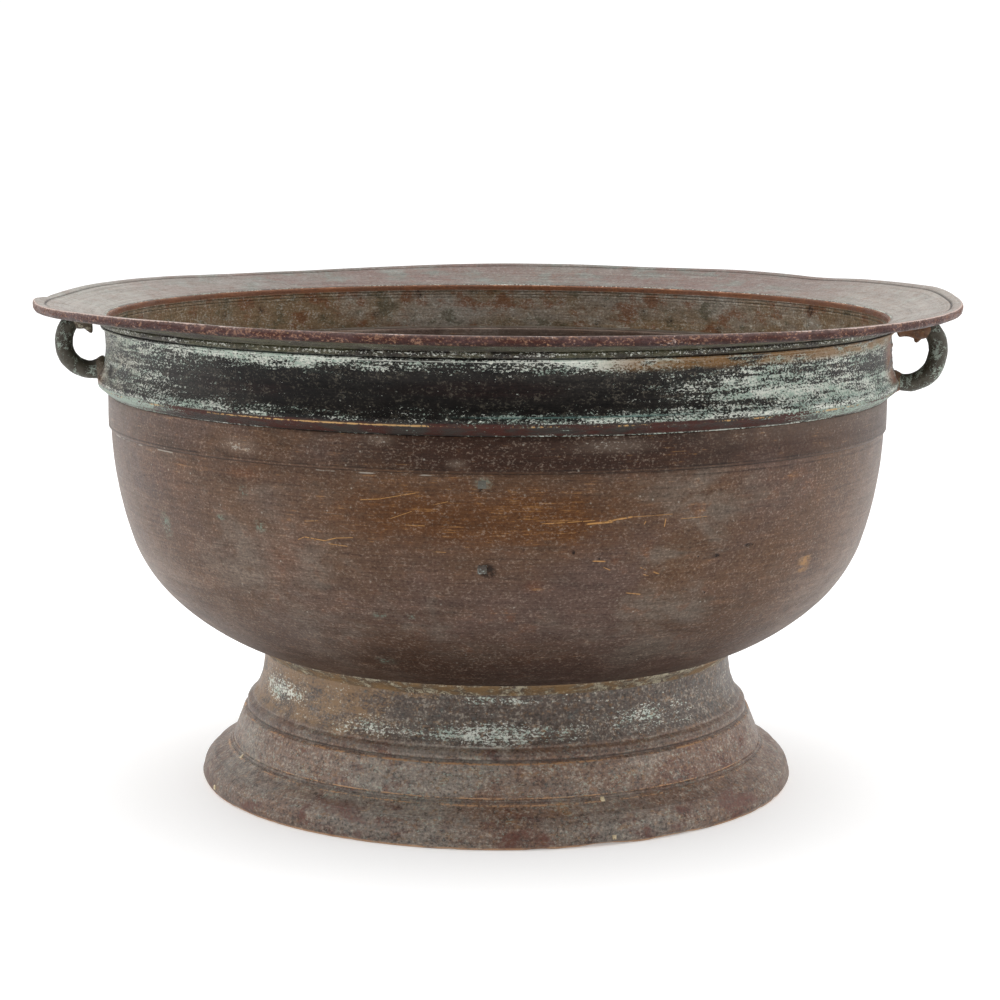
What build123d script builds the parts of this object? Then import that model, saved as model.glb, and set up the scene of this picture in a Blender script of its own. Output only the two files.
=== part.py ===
"""Footed cast-brass urli: bowl, flanged rim collar, hollow foot and two ear handles.

Millimetres, +Z up, origin on the ground at the centre of the foot.
+X runs to the right handle's side, and both handles stand a few degrees towards -Y, the front.
"""

from build123d import *
import math
import os

os.makedirs("parts", exist_ok=True)

# ------------------------------------------------------------------ driving dimensions

# Foot: a hollow casting, open underneath
foot_radius = 182.8  # widest point of the base moulding
foot_height = 84.3  # ground to the bowl's underside, at the neck's outer face
foot_wall = 5.0  # casting thickness of the foot
foot_land = 8.0  # width of the ring that stands on the ground
foot_edge_inset = 1.5  # rounding-in of the base's lowest edge
foot_edge_height = 3.0  # height of the widest point
base_face_height = 12.0  # height of the base's upright face
base_face_inset = 2.4  # how far that face leans in
base_top_height = 17.5  # top of the rounded base moulding
base_top_inset = 7.6  # how far the rounded top comes in
base_top_bulge = 0.8  # how far that round rises over its middle
cavetto_inset = 19.2  # radius lost from the widest point to the foot of the cone
cavetto_height = 26.5  # level of the foot of the cone
cone_inset = 26.4  # radius lost from the widest point to the top of the cone
cone_height = 44.0  # level of the top of the cone
torus_height = 46.5  # level of the small round step over the cone
torus_foot_inset = 1.2  # radius lost from the top of the cone to the foot of that step
torus_face_inset = 2.4  # and to its round face
torus_inset = 4.9  # and to the foot of the neck's hollow curve
torus_bulge = 1.0  # how far the round face rises over its middle
cove_foot_height = 51.0  # level where the neck's hollow curve starts
foot_neck_radius = 143.9  # outer radius of the neck
neck_straight = 6.8  # upright part of the neck, under the bowl
cavetto_radius = 30.0
groove_width = 1.2  # turned decorative lines
groove_depth = 0.6
foot_groove_drops = (3.0, 0.9)  # the double line, under the foot of the cone

# Bowl: a cast and turned shell of even thickness
body_radius = 235.2  # outside of the upright wall
bowl_wall = 4.5
wall_lean = 2.0  # lean of the wall where the shoulder starts, degrees from vertical
shoulder_end = 18.0  # leans where each arc hands over to the next
hip_end = 45.0
belly_end = 70.0
shoulder_radius = 235.0  # the arcs' own radii
hip_radius = 91.0
belly_radius = 141.0
band_rise = 0.5  # shoulder to the lower edge of the turned band
band_height = 20.0
band_proud = 1.5  # how far the band stands out of the wall
spigot_height = 16.5  # part of the bowl's wall that stands inside the collar
bowl_edge_chamfer = 1.0

# Rim collar: ridge, neck band and flange in one casting, lapped over the bowl's spigot
collar_clearance = 0.5  # radial room for solder between spigot and collar
lap_fillet = 1.5  # solder on the bowl's edge inside
bore_allowance = 0.3  # the collar's bore over the bowl's upright wall
ridge_wall = 7.8  # wall at the ridge along the collar's lower edge
ridge_rise = 5.5  # height of the ridge's sloping underside
ridge_face = 4.5  # height of the ridge's upright face
waist_wall = 3.8  # wall at the thinnest part of the neck band
waist_height = 26.0
neck_top_wall = 4.7
neck_top_height = 39.5
fillet_band_wall = 5.6  # narrow flat fillet over the neck band
fillet_band_height = 1.4
bead_groove_wall = 4.4  # bottom of the groove between fillet and bead
bead_groove_height = 0.8
bead_root_wall = 6.6  # where the small bead's round nose starts
bead_height = 2.8
flange_root_wall = 9.5  # where the flange's underside springs from the neck
flange_root_height = 45.5
mouth_height = 45.8  # the mouth's edge over the collar's foot
mouth_round = 2.0
flange_width = 44.5  # mouth edge to the outermost rim
flange_rise = 12.0  # the flange's dish, mouth to lip
lip_depth = 6.3  # thickness of the rounded lip
lip_round = 2.4
flange_groove_inset = 7.0  # engraved line on the flange, from the rim

# Handles: cast ear loops, upper arm under the flange, lower arm on the neck band
handle_turn = 9.0  # degrees towards the front from the side
left_rod_radius = 5.35
left_reach = 23.4  # rod centre over the waist of the neck band
left_arm_level = 14.2  # lower arm's centre over the collar's foot
left_lower_bend = 13.0
left_upper_bend = 9.0
left_arm_drop = 3.8  # upper arm's centre under the flange's underside
right_rod_radius = 5.3
right_reach = 26.7
right_arm_level = 8.8
right_lower_bend = 15.0
right_upper_bend = 9.0
right_arm_drop = 5.0
arm_end_gap = 7.5  # upper arm's end to the neck band
root_embed = 1.5  # the handle's raw end is trimmed to the collar's face
braze_spread = 2.0  # the lower braze round the rod, at the neck band
braze_lip = 0.2  # and at its outer end
braze_length = 5.0
pad_overhang = 1.5  # the upper braze beyond the rod
pad_end = 3.0
pad_rise = 1.0  # the pad's blank over the underside, trimmed off by the flange

# Solder fillets between bowl and foot, outside and inside
seam_outer_width = 8.5
seam_outer_height = 6.0
seam_outer_radius = 17.0  # hollow face of the outer fillet
seam_inner_width = 5.0
seam_inner_height = 5.0

# Chaplets: square pins that held the core, cast into the wall and turned flush
chaplet_columns = 4
bowl_chaplet_size = 5.0
bowl_chaplet_turn = -2.0  # first column, degrees from the front
bowl_chaplet_rises = (83.7, 130.7)  # over the foot's top
foot_chaplet_size = 2.6
foot_chaplet_turn = 21.5
foot_chaplet_levels = (5.0, 22.0)


# ------------------------------------------------------------------ worked-out values


def inset(radius, start, end):
    """Distance that an arc comes in towards the axis between two leans."""
    return radius * (math.cos(math.radians(start)) - math.cos(math.radians(end)))


def drop(radius, start, end):
    """Height that an arc loses between two leans."""
    return radius * (math.sin(math.radians(end)) - math.sin(math.radians(start)))


upright = 90.0
front = -90.0
side_arcs = (
    (shoulder_radius, wall_lean, shoulder_end),
    (hip_radius, shoulder_end, hip_end),
    (belly_radius, hip_end, belly_end),
)
bottom_reach = body_radius - sum(inset(*arc) for arc in side_arcs)
bottom_radius = bottom_reach / math.cos(math.radians(belly_end))
outline_arcs = side_arcs + ((bottom_radius, belly_end, upright),)
curved_depth = sum(drop(*arc) for arc in outline_arcs)


def underside(reach):
    """Height of the bowl's outer face over its lowest point, at a distance from the axis."""
    centre_reach = 0.0
    centre_height = bottom_radius
    previous = bottom_radius
    for radius, start, end in reversed(outline_arcs):
        lean = math.radians(end)
        centre_reach += (previous - radius) * math.cos(lean)
        centre_height -= (previous - radius) * math.sin(lean)
        previous = radius
        if reach <= centre_reach + radius * math.cos(math.radians(start)):
            break
    across = min((reach - centre_reach) / radius, 1.0)
    return centre_height - radius * math.sqrt(1.0 - across**2)


neck_cove_top = foot_height - neck_straight
cone_foot_radius = foot_radius - cavetto_inset
cone_top_radius = foot_radius - cone_inset
cove_foot_radius = cone_top_radius - torus_inset
cove_inset = cove_foot_radius - foot_neck_radius
cove_span = neck_cove_top - cove_foot_height
neck_cove_radius = (cove_inset**2 + cove_span**2) / (2 * cove_inset)  # upright where it ends
collar_bore = body_radius + bore_allowance
bowl_bottom = foot_height - underside(foot_neck_radius)
shoulder_level = bowl_bottom + curved_depth
band_foot = shoulder_level + band_rise
collar_foot = band_foot + band_height
spigot_top = collar_foot + spigot_height
spigot_radius = collar_bore - collar_clearance
band_radius = body_radius + band_proud
bowl_inner_radius = body_radius - bowl_wall * math.cos(math.radians(wall_lean))
foot_bore = foot_neck_radius - foot_wall
rim_radius = collar_bore + flange_width
mouth_level = collar_foot + mouth_height
rim_level = mouth_level + flange_rise
lip_foot = rim_level - lip_depth
waist_radius = collar_bore + waist_wall
flange_root_radius = collar_bore + flange_root_wall
flange_root_level = collar_foot + flange_root_height
lip_edge_radius = rim_radius - lip_round
underside_slope = (lip_foot - flange_root_level) / (lip_edge_radius - flange_root_radius)


def flange_underside(reach):
    """Level of the flange's underside at a distance from the axis."""
    return flange_root_level + (reach - flange_root_radius) * underside_slope


def ring_cut(reach, level):
    """Square section of a turned line, half sunk into a face."""
    with BuildSketch(Plane.XZ) as section:
        with Locations((reach, level)):
            Rectangle(2 * groove_depth, groove_width)
    return section.sketch


# ------------------------------------------------------------------ bowl

# The bowl's outside as a filled blank, also used to trim what seats on it
with BuildPart() as bowl_blank:
    with BuildSketch(Plane.XZ):
        with BuildLine():
            point = (body_radius, shoulder_level)
            lean = math.radians(wall_lean)
            heading = (-math.sin(lean), -math.cos(lean))
            for radius, start, end in outline_arcs:
                arc = JernArc(point, heading, radius, start - end)
                point = arc @ 1
                heading = arc % 1
            Polyline(
                arc @ 1,
                (0, spigot_top),
                (spigot_radius, spigot_top),
                (spigot_radius, collar_foot),
                (band_radius, collar_foot),
                (band_radius, band_foot + band_proud),
                (body_radius, band_foot),
                (body_radius, shoulder_level),
            )
        make_face()
    revolve(axis=Axis.Z)

with BuildPart() as bowl_cavity:
    with BuildSketch(Plane.XZ):
        with BuildLine():
            lean = math.radians(wall_lean)
            point = (bowl_inner_radius, shoulder_level + bowl_wall * math.sin(lean))
            heading = (-math.sin(lean), -math.cos(lean))
            wall_foot = point
            for radius, start, end in outline_arcs:
                arc = JernArc(point, heading, radius - bowl_wall, start - end)
                point = arc @ 1
                heading = arc % 1
            Polyline(
                arc @ 1,
                (0, spigot_top),
                (bowl_inner_radius + bowl_edge_chamfer, spigot_top),
                (bowl_inner_radius, spigot_top - bowl_edge_chamfer),
                wall_foot,
            )
        make_face()
    revolve(axis=Axis.Z)

with BuildPart() as bowl_shell:
    add(bowl_blank.part)
    add(bowl_cavity.part, mode=Mode.SUBTRACT)

# Square core pins through the bowl's wall, flush with both faces
with BuildPart() as bowl_chaplets:
    for rise in bowl_chaplet_rises:
        with Locations(Plane.XY.offset(foot_height + rise)):
            with PolarLocations(body_radius, chaplet_columns, front + bowl_chaplet_turn):
                Box(body_radius / 2, bowl_chaplet_size, bowl_chaplet_size)
    add(bowl_shell.part, mode=Mode.INTERSECT)

with BuildPart() as bowl_body:
    add(bowl_shell.part)
    add(bowl_chaplets.part, mode=Mode.SUBTRACT)

# ------------------------------------------------------------------ rim collar

with BuildPart() as rim_collar:
    with BuildSketch(Plane.XZ):
        with BuildLine():
            ridge_radius = collar_bore + ridge_wall
            ridge_top = collar_foot + ridge_rise + ridge_face
            neck_top = collar_foot + neck_top_height
            fillet_top = neck_top + fillet_band_height
            bead_foot = fillet_top + bead_groove_height
            ridge = Polyline(
                (collar_bore, collar_foot),
                (band_radius, collar_foot),
                (ridge_radius, collar_foot + ridge_rise),
                (ridge_radius, ridge_top),
            )
            neck = ThreePointArc(
                ridge @ 1,
                (waist_radius, collar_foot + waist_height),
                (collar_bore + neck_top_wall, neck_top),
            )
            quirk = Polyline(
                neck @ 1,
                (collar_bore + fillet_band_wall, neck_top),
                (collar_bore + fillet_band_wall, fillet_top),
                (collar_bore + bead_groove_wall, fillet_top),
                (collar_bore + bead_groove_wall, bead_foot),
                (collar_bore + bead_root_wall, bead_foot),
            )
            bead = ThreePointArc(
                quirk @ 1,
                (collar_bore + bead_root_wall + bead_height / 2, bead_foot + bead_height / 2),
                (collar_bore + bead_root_wall, bead_foot + bead_height),
            )
            flange_slope = flange_rise / flange_width
            lip_line = Polyline(
                bead @ 1,
                (flange_root_radius, flange_root_level),
                (lip_edge_radius, lip_foot),
            )
            lip = FilletPolyline(
                lip_line @ 1,
                (rim_radius, lip_foot + lip_round / 2),
                (rim_radius, rim_level),
                (rim_radius - lip_depth, rim_level - lip_depth * flange_slope),
                radius=(lip_round / 2, lip_round),
            )
            FilletPolyline(
                lip @ 1,
                (collar_bore, mouth_level),
                (collar_bore, collar_foot),
                radius=mouth_round,
            )
        make_face()
    revolve(axis=Axis.Z)
    groove_radius = rim_radius - flange_groove_inset
    add(ring_cut(groove_radius, rim_level - flange_groove_inset * flange_slope))
    revolve(axis=Axis.Z, mode=Mode.SUBTRACT)

# Solder film in the lap joint, with a small fillet on the bowl's edge inside
with BuildPart() as collar_seam:
    with BuildSketch(Plane.XZ):
        with BuildLine():
            Polyline(
                (spigot_radius, collar_foot),
                (collar_bore, collar_foot),
                (collar_bore, spigot_top + lap_fillet),
                (spigot_radius - lap_fillet, spigot_top),
                (spigot_radius, spigot_top),
                close=True,
            )
        make_face()
    revolve(axis=Axis.Z)

# ------------------------------------------------------------------ foot

with BuildPart() as foot_shell:
    with BuildSketch(Plane.XZ):
        with BuildLine():
            crown_level = (base_face_height + base_top_height) / 2 + base_top_bulge
            torus_level = (torus_height + cove_foot_height) / 2 + torus_bulge
            base = Polyline(
                (foot_radius - foot_edge_inset, 0),
                (foot_radius, foot_edge_height),
                (foot_radius - base_face_inset, base_face_height),
            )
            crown = ThreePointArc(
                base @ 1,
                (foot_radius - base_top_inset / 2, crown_level),
                (foot_radius - base_top_inset, base_top_height),
            )
            cavetto = RadiusArc(crown @ 1, (cone_foot_radius, cavetto_height), cavetto_radius)
            cone = Line(cavetto @ 1, (cone_top_radius, cone_height))
            torus_foot = Line(cone @ 1, (cone_top_radius - torus_foot_inset, torus_height))
            torus = ThreePointArc(
                torus_foot @ 1,
                (cone_top_radius - torus_face_inset, torus_level),
                (cove_foot_radius, cove_foot_height),
            )
            cove = RadiusArc(torus @ 1, (foot_neck_radius, neck_cove_top), neck_cove_radius)
            Polyline(
                cove @ 1,
                (foot_neck_radius, foot_height + foot_wall),
                (foot_bore, foot_height + foot_wall),
                (foot_bore, cove_foot_height + 2 * foot_wall),
                (cone_top_radius - foot_wall, cone_height - foot_wall),
                (cone_foot_radius - foot_wall, cavetto_height - foot_wall),
                (foot_radius - foot_land, foot_edge_height),
                (foot_radius - foot_land, 0),
                base @ 0,
            )
        make_face()
    revolve(axis=Axis.Z)
    add(bowl_blank.part, mode=Mode.SUBTRACT)
    for fall in foot_groove_drops:
        add(ring_cut(cone_foot_radius + groove_depth, cavetto_height - fall))
    revolve(axis=Axis.Z, mode=Mode.SUBTRACT)

with BuildPart() as foot_chaplets:
    for level in foot_chaplet_levels:
        with Locations(Plane.XY.offset(level)):
            with PolarLocations(foot_radius, chaplet_columns, front + foot_chaplet_turn):
                Box(foot_radius / 2, foot_chaplet_size, foot_chaplet_size)
    add(foot_shell.part, mode=Mode.INTERSECT)

with BuildPart() as foot_ring:
    add(foot_shell.part)
    add(foot_chaplets.part, mode=Mode.SUBTRACT)

# Solder fillets where the foot's neck meets the bowl, one outside and one inside
with BuildPart() as foot_seam:
    with BuildSketch(Plane.XZ):
        with BuildLine():
            outer_reach = foot_neck_radius + seam_outer_width
            outer_level = bowl_bottom + underside(outer_reach)
            outer_foot = foot_height - seam_outer_height
            fillet_face = RadiusArc(
                (foot_neck_radius, outer_foot), (outer_reach, outer_level), -seam_outer_radius
            )
            Polyline(
                fillet_face @ 1,
                (outer_reach, outer_level + foot_wall),
                (foot_neck_radius, outer_level + foot_wall),
                fillet_face @ 0,
            )
        make_face()
        with BuildLine():
            inner_reach = foot_bore - seam_inner_width
            inner_level = bowl_bottom + underside(inner_reach)
            inner_foot = bowl_bottom + underside(foot_bore) - seam_inner_height
            Polyline(
                (foot_bore, inner_foot),
                (foot_bore, inner_level + foot_wall),
                (inner_reach, inner_level + foot_wall),
                (inner_reach, inner_level),
                close=True,
            )
        make_face()
    revolve(axis=Axis.Z)
    add(bowl_blank.part, mode=Mode.SUBTRACT)

# ------------------------------------------------------------------ handles

handles = (
    (
        "left",
        180.0 + handle_turn,
        left_rod_radius,
        left_reach,
        left_arm_level,
        left_lower_bend,
        left_upper_bend,
        left_arm_drop,
    ),
    (
        "right",
        -handle_turn,
        right_rod_radius,
        right_reach,
        right_arm_level,
        right_lower_bend,
        right_upper_bend,
        right_arm_drop,
    ),
)

handle_pieces = {}
for side, azimuth, rod, reach, arm_level, lower_bend, upper_bend, arm_drop in handles:
    outward = Vector(1, 0, 0).rotate(Axis.Z, azimuth)
    sideways = outward.cross(Vector(0, 0, 1))
    radial_plane = Plane(origin=(0, 0, 0), x_dir=outward, z_dir=sideways)
    root_reach = waist_radius - root_embed
    far_reach = waist_radius + reach
    arm_end = waist_radius + arm_end_gap
    lower_level = collar_foot + arm_level
    root_plane = Plane(origin=outward * root_reach + Vector(0, 0, lower_level), z_dir=outward)

    with BuildPart() as handle:
        with BuildLine(radial_plane) as path:
            FilletPolyline(
                (root_reach, lower_level),
                (far_reach, lower_level),
                (far_reach, flange_underside(far_reach) - arm_drop),
                (arm_end, flange_underside(arm_end) - arm_drop),
                radius=(lower_bend, upper_bend),
            )
        with BuildSketch(root_plane):
            Circle(rod)
        sweep(path=path.wires()[0])
        add(rim_collar.part, mode=Mode.SUBTRACT)

    # Braze ring round the lower root
    with BuildPart() as lower_braze:
        with Locations(root_plane):
            Cone(
                rod + braze_spread,
                rod + braze_lip,
                root_embed + braze_length,
                align=(Align.CENTER, Align.CENTER, Align.MIN),
            )
        add(handle.part, mode=Mode.SUBTRACT)
        add(rim_collar.part, mode=Mode.SUBTRACT)

    # Braze pad that fills between the upper arm and the flange
    with BuildPart() as upper_braze:
        with BuildSketch(radial_plane):
            with BuildLine():
                pad_tip = arm_end - pad_end
                pad_back = (arm_end + far_reach) / 2
                Polyline(
                    (pad_tip, flange_underside(pad_tip) - arm_drop),
                    (pad_back, flange_underside(pad_back) - arm_drop),
                    (pad_back, flange_underside(pad_back) + pad_rise),
                    (pad_tip, flange_underside(pad_tip) + pad_rise),
                    close=True,
                )
            make_face()
        extrude(amount=rod + pad_overhang, both=True)
        add(handle.part, mode=Mode.SUBTRACT)
        add(rim_collar.part, mode=Mode.SUBTRACT)

    handle_pieces[f"{side}_handle"] = handle
    handle_pieces[f"{side}_lower_braze"] = lower_braze
    handle_pieces[f"{side}_upper_braze"] = upper_braze

# ------------------------------------------------------------------ export

pieces = {
    "bowl_body": bowl_body,
    "bowl_chaplets": bowl_chaplets,
    "rim_collar": rim_collar,
    "collar_seam": collar_seam,
    "foot_ring": foot_ring,
    "foot_chaplets": foot_chaplets,
    "foot_seam": foot_seam,
    **handle_pieces,
}
for name, piece in pieces.items():
    piece.part.label = name
    export_step(piece.part, f"parts/{name}.step")
    size = piece.part.bounding_box().size
    print(f"{name}: {len(piece.part.solids())} solids, {size.X:.1f} x {size.Y:.1f} x {size.Z:.1f}")
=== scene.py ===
"""Looks of a large footed urli: old cast brass, turned outside, under a brown and green patina.

Every length in the classes is in millimetres. Heights count from the ground and radii from the
bowl's axis. Meshes are written in metres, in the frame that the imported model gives.
"""

import logging
import math
from dataclasses import dataclass, field
from enum import Enum
from types import SimpleNamespace
from typing import Callable, ClassVar, Sequence

import bmesh
import bpy
import numpy as np
from mathutils import Matrix, Vector


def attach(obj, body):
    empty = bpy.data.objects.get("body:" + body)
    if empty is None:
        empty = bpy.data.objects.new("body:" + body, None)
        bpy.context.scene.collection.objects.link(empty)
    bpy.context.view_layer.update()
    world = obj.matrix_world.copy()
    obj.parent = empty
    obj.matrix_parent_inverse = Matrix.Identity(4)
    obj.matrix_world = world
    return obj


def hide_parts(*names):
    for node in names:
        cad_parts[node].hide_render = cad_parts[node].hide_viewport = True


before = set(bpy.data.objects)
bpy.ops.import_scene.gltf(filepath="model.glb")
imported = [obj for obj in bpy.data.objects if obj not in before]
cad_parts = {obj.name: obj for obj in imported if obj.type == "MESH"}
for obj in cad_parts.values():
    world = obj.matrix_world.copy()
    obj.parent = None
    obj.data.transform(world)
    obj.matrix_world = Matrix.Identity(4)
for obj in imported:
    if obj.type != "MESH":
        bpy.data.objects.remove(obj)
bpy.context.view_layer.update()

log = logging.getLogger("urli")
MM = 0.001
REST = "rest"
CAP_RINGS = 4
OCTAVE_SHIFT = 17.3
NOISE_MEAN = 0.5
PIN_SEED = 40
Colour = tuple[float, float, float]
Point = tuple[float, float]
Corner = tuple[float, float, float]
Zones = tuple[tuple[float, ...], ...]


class Slot(Enum):
    """Material slots of the record."""

    BOWL = "bowl_bronze"
    RIM = "rim_bronze"
    FOOT = "foot_bronze"
    HANDLE = "handle_bronze"
    SOLDER = "solder"
    BRAZE = "braze"
    CHAPLET = "chaplet_metal"


class Side(Enum):
    """Which way a handle stands out from the bowl."""

    LEFT = -1
    RIGHT = 1


# ---------------------------------------------------------------- numbers and curves


def tint(code: str) -> Colour:
    """Turn a display colour into scene-linear values.

    Args:
        code: six hexadecimal digits.

    Returns:
        Red, green and blue from 0 to 1.
    """
    values = [int(code[i : i + 2], 16) / 255 for i in (0, 2, 4)]
    return tuple(v / 12.92 if v <= 0.04045 else ((v + 0.055) / 1.055) ** 2.4 for v in values)


def bump_at(values: np.ndarray, centre: float, width: float) -> np.ndarray:
    """A smooth hill of height 1 round a centre.

    Args:
        values: where to read the hill.
        centre: place of its top.
        width: distance over which it falls to about a third.

    Returns:
        The hill's height at each value.
    """
    return np.exp(-(((values - centre) / width) ** 2))


def ramp(values: np.ndarray, low: float, high: float) -> np.ndarray:
    """A smooth step from 0 at low to 1 at high."""
    share = np.clip((values - low) / (high - low), 0.0, 1.0)
    return share * share * (3.0 - 2.0 * share)


class Grain:
    """Seeded smooth noise in space, from -1 to 1."""

    def __init__(self, seed: int, cells: int = 32) -> None:
        """Fill the lattice.

        Args:
            seed: number that fixes the pattern.
            cells: lattice cells before the pattern repeats.
        """
        self.cells = cells
        self.table = np.random.default_rng(seed).random((cells, cells, cells)) * 2.0 - 1.0

    def at(self, points: np.ndarray, size: float, octaves: int = 1) -> np.ndarray:
        """Read the noise.

        Args:
            points: one row of three coordinates for each point.
            size: size of the largest features, in the points' unit.
            octaves: how many finer layers, each half as large and half as strong.

        Returns:
            One value for each point.
        """
        total = np.zeros(len(points))
        strength = 1.0
        for octave in range(octaves):
            scaled = points / size * 2.0**octave + OCTAVE_SHIFT * octave
            whole = np.floor(scaled).astype(int)
            share = scaled - whole
            share = share * share * (3.0 - 2.0 * share)
            layer = np.zeros(len(points))
            for corner in np.ndindex(2, 2, 2):
                offset = np.array(corner)
                weight = np.prod(np.where(offset == 1, share, 1.0 - share), axis=1)
                cell = (whole + offset) % self.cells
                layer += weight * self.table[cell[:, 0], cell[:, 1], cell[:, 2]]
            total += strength * layer
            strength /= 2.0
        return total


def rounded(corners: Sequence[Corner], step: float) -> list[Point]:
    """Walk along a line of corners, each rounded by its own radius.

    Args:
        corners: radius, height and rounding of each corner.
        step: largest distance between two points, in millimetres.

    Returns:
        The points of the line.
    """
    path: list[Point] = [corners[0][:2]]
    for before, here, after in zip(corners, corners[1:], corners[2:]):
        a = np.subtract(before[:2], here[:2])
        b = np.subtract(after[:2], here[:2])
        length_a = np.linalg.norm(a)
        length_b = np.linalg.norm(b)
        a = a / length_a
        b = b / length_b
        half = math.acos(float(np.clip(a @ b, -1.0, 1.0))) / 2.0
        if here[2] <= 0.0 or half > math.pi / 2 - 0.01:
            path.append(here[:2])
            continue
        reach = min(here[2] / math.tan(half), 0.49 * length_a, 0.49 * length_b)
        radius = reach * math.tan(half)
        middle = np.array(here[:2]) + (a + b) / np.linalg.norm(a + b) * radius / math.sin(half)
        turn = math.pi - 2.0 * half
        count = max(3, math.ceil(radius * turn / step) + 1)
        start = np.array(here[:2]) + a * reach - middle
        side = math.copysign(1.0, a[0] * b[1] - a[1] * b[0])
        for i in range(count + 1):
            angle = -side * turn * i / count
            c, s = math.cos(angle), math.sin(angle)
            path.append((
                middle[0] + c * start[0] - s * start[1],
                middle[1] + s * start[0] + c * start[1],
            ))
    path.append(corners[-1][:2])
    return spaced(path, step)


def spaced(path: Sequence[Point], step: float) -> list[Point]:
    """Divide a line's long stretches.

    Args:
        path: points of the line.
        step: largest distance between two points.

    Returns:
        The same line with more points.
    """
    found: list[Point] = [path[0]]
    for start, end in zip(path, path[1:]):
        length = math.dist(start, end)
        if length < 1e-6:
            continue
        count = max(1, math.ceil(length / step))
        for i in range(1, count + 1):
            share = i / count
            found.append((start[0] + (end[0] - start[0]) * share, start[1] + (end[1] - start[1]) * share))
    return found


def smooth_through(knots: np.ndarray, count: int) -> np.ndarray:
    """A Catmull-Rom curve through rows of numbers.

    Args:
        knots: one row for each knot.
        count: points wanted.

    Returns:
        Rows along the curve, from the first knot to the last.
    """
    padded = np.vstack([2 * knots[0] - knots[1], knots, 2 * knots[-1] - knots[-2]])
    places = np.linspace(0.0, len(knots) - 1.000001, count)
    whole = places.astype(int)
    t = (places - whole)[:, None]
    p0, p1, p2, p3 = (padded[whole + i] for i in range(4))
    return 0.5 * (
        2 * p1 + (p2 - p0) * t + (2 * p0 - 5 * p1 + 4 * p2 - p3) * t**2 + (3 * p1 - p0 - 3 * p2 + p3) * t**3
    )


# ---------------------------------------------------------------- meshes


Warp = Callable[[np.ndarray], np.ndarray]


def make_object(
    name: str, vertices: np.ndarray, faces: list, rest: np.ndarray | None = None
) -> bpy.types.Object:
    """Make a smooth-shaded mesh object.

    Args:
        name: name of the piece.
        vertices: places in millimetres.
        faces: vertex numbers of each face.
        rest: places before any warp, in millimetres, for the finish to read.

    Returns:
        The new object.
    """
    mesh = bpy.data.meshes.new(name)
    mesh.from_pydata((vertices * MM).tolist(), [], faces)
    mesh.validate()
    attribute = mesh.attributes.new(REST, "FLOAT_VECTOR", "POINT")
    source = vertices if rest is None else rest
    attribute.data.foreach_set("vector", (source * MM).astype(np.float32).ravel())
    mesh.polygons.foreach_set("use_smooth", [True] * len(mesh.polygons))
    made = bpy.data.objects.new(name, mesh)
    bpy.context.scene.collection.objects.link(made)
    face_outwards(made)
    return made


def face_outwards(piece: bpy.types.Object) -> None:
    """Point every face of a closed mesh outwards."""
    work = bmesh.new()
    work.from_mesh(piece.data)
    bmesh.ops.recalc_face_normals(work, faces=work.faces)
    work.to_mesh(piece.data)
    work.free()


def turn(name: str, outline: Sequence[Point], segments: int, warp: Warp) -> bpy.types.Object:
    """Turn a closed outline about the axis.

    Args:
        name: name of the piece.
        outline: radius and height of each point. A first and last radius of zero close on the axis.
        segments: steps round the axis.
        warp: takes rest places and gives warped ones.

    Returns:
        The new object.
    """
    points = np.array(outline)
    polar = points[0, 0] < 1e-6
    rings = points[1:-1] if polar else points
    angles = np.linspace(0.0, 2.0 * math.pi, segments, endpoint=False)
    radius = np.repeat(rings[:, 0], segments)
    height = np.repeat(rings[:, 1], segments)
    angle = np.tile(angles, len(rings))
    rest = np.column_stack([radius * np.cos(angle), radius * np.sin(angle), height])
    faces = []
    count = len(rings)
    for i in range(count - 1 if polar else count):
        low = i * segments
        high = ((i + 1) % count) * segments
        for j in range(segments):
            k = (j + 1) % segments
            faces.append((low + j, low + k, high + k, high + j))
    if polar:
        first = len(rest)
        ends = np.array([[0.0, 0.0, points[0, 1]], [0.0, 0.0, points[-1, 1]]])
        rest = np.vstack([rest, ends])
        last_ring = (count - 1) * segments
        for j in range(segments):
            k = (j + 1) % segments
            faces.append((first, k, j))
            faces.append((first + 1, last_ring + j, last_ring + k))
    return make_object(name, warp(rest), faces, rest)


def polar(rest: np.ndarray) -> tuple[np.ndarray, np.ndarray, np.ndarray]:
    """Split places into radius, bearing and height.

    Args:
        rest: rows of x, y and z.

    Returns:
        Radii, bearings in degrees (0 at the front, 90 on the right) and heights.
    """
    bearing = np.degrees(np.arctan2(rest[:, 0], -rest[:, 1]))
    return np.hypot(rest[:, 0], rest[:, 1]), bearing, rest[:, 2]


def away(bearing: np.ndarray, centre: float) -> np.ndarray:
    """Signed turn in degrees from a centre bearing, within half a turn."""
    return (bearing - centre + 180.0) % 360.0 - 180.0


def push_out(rest: np.ndarray, amount: np.ndarray) -> np.ndarray:
    """Move places along their own radius by an amount."""
    radius = np.maximum(np.hypot(rest[:, 0], rest[:, 1]), 1e-6)
    moved = rest.copy()
    moved[:, 0] += rest[:, 0] / radius * amount
    moved[:, 1] += rest[:, 1] / radius * amount
    return moved


# ---------------------------------------------------------------- shader maths


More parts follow.
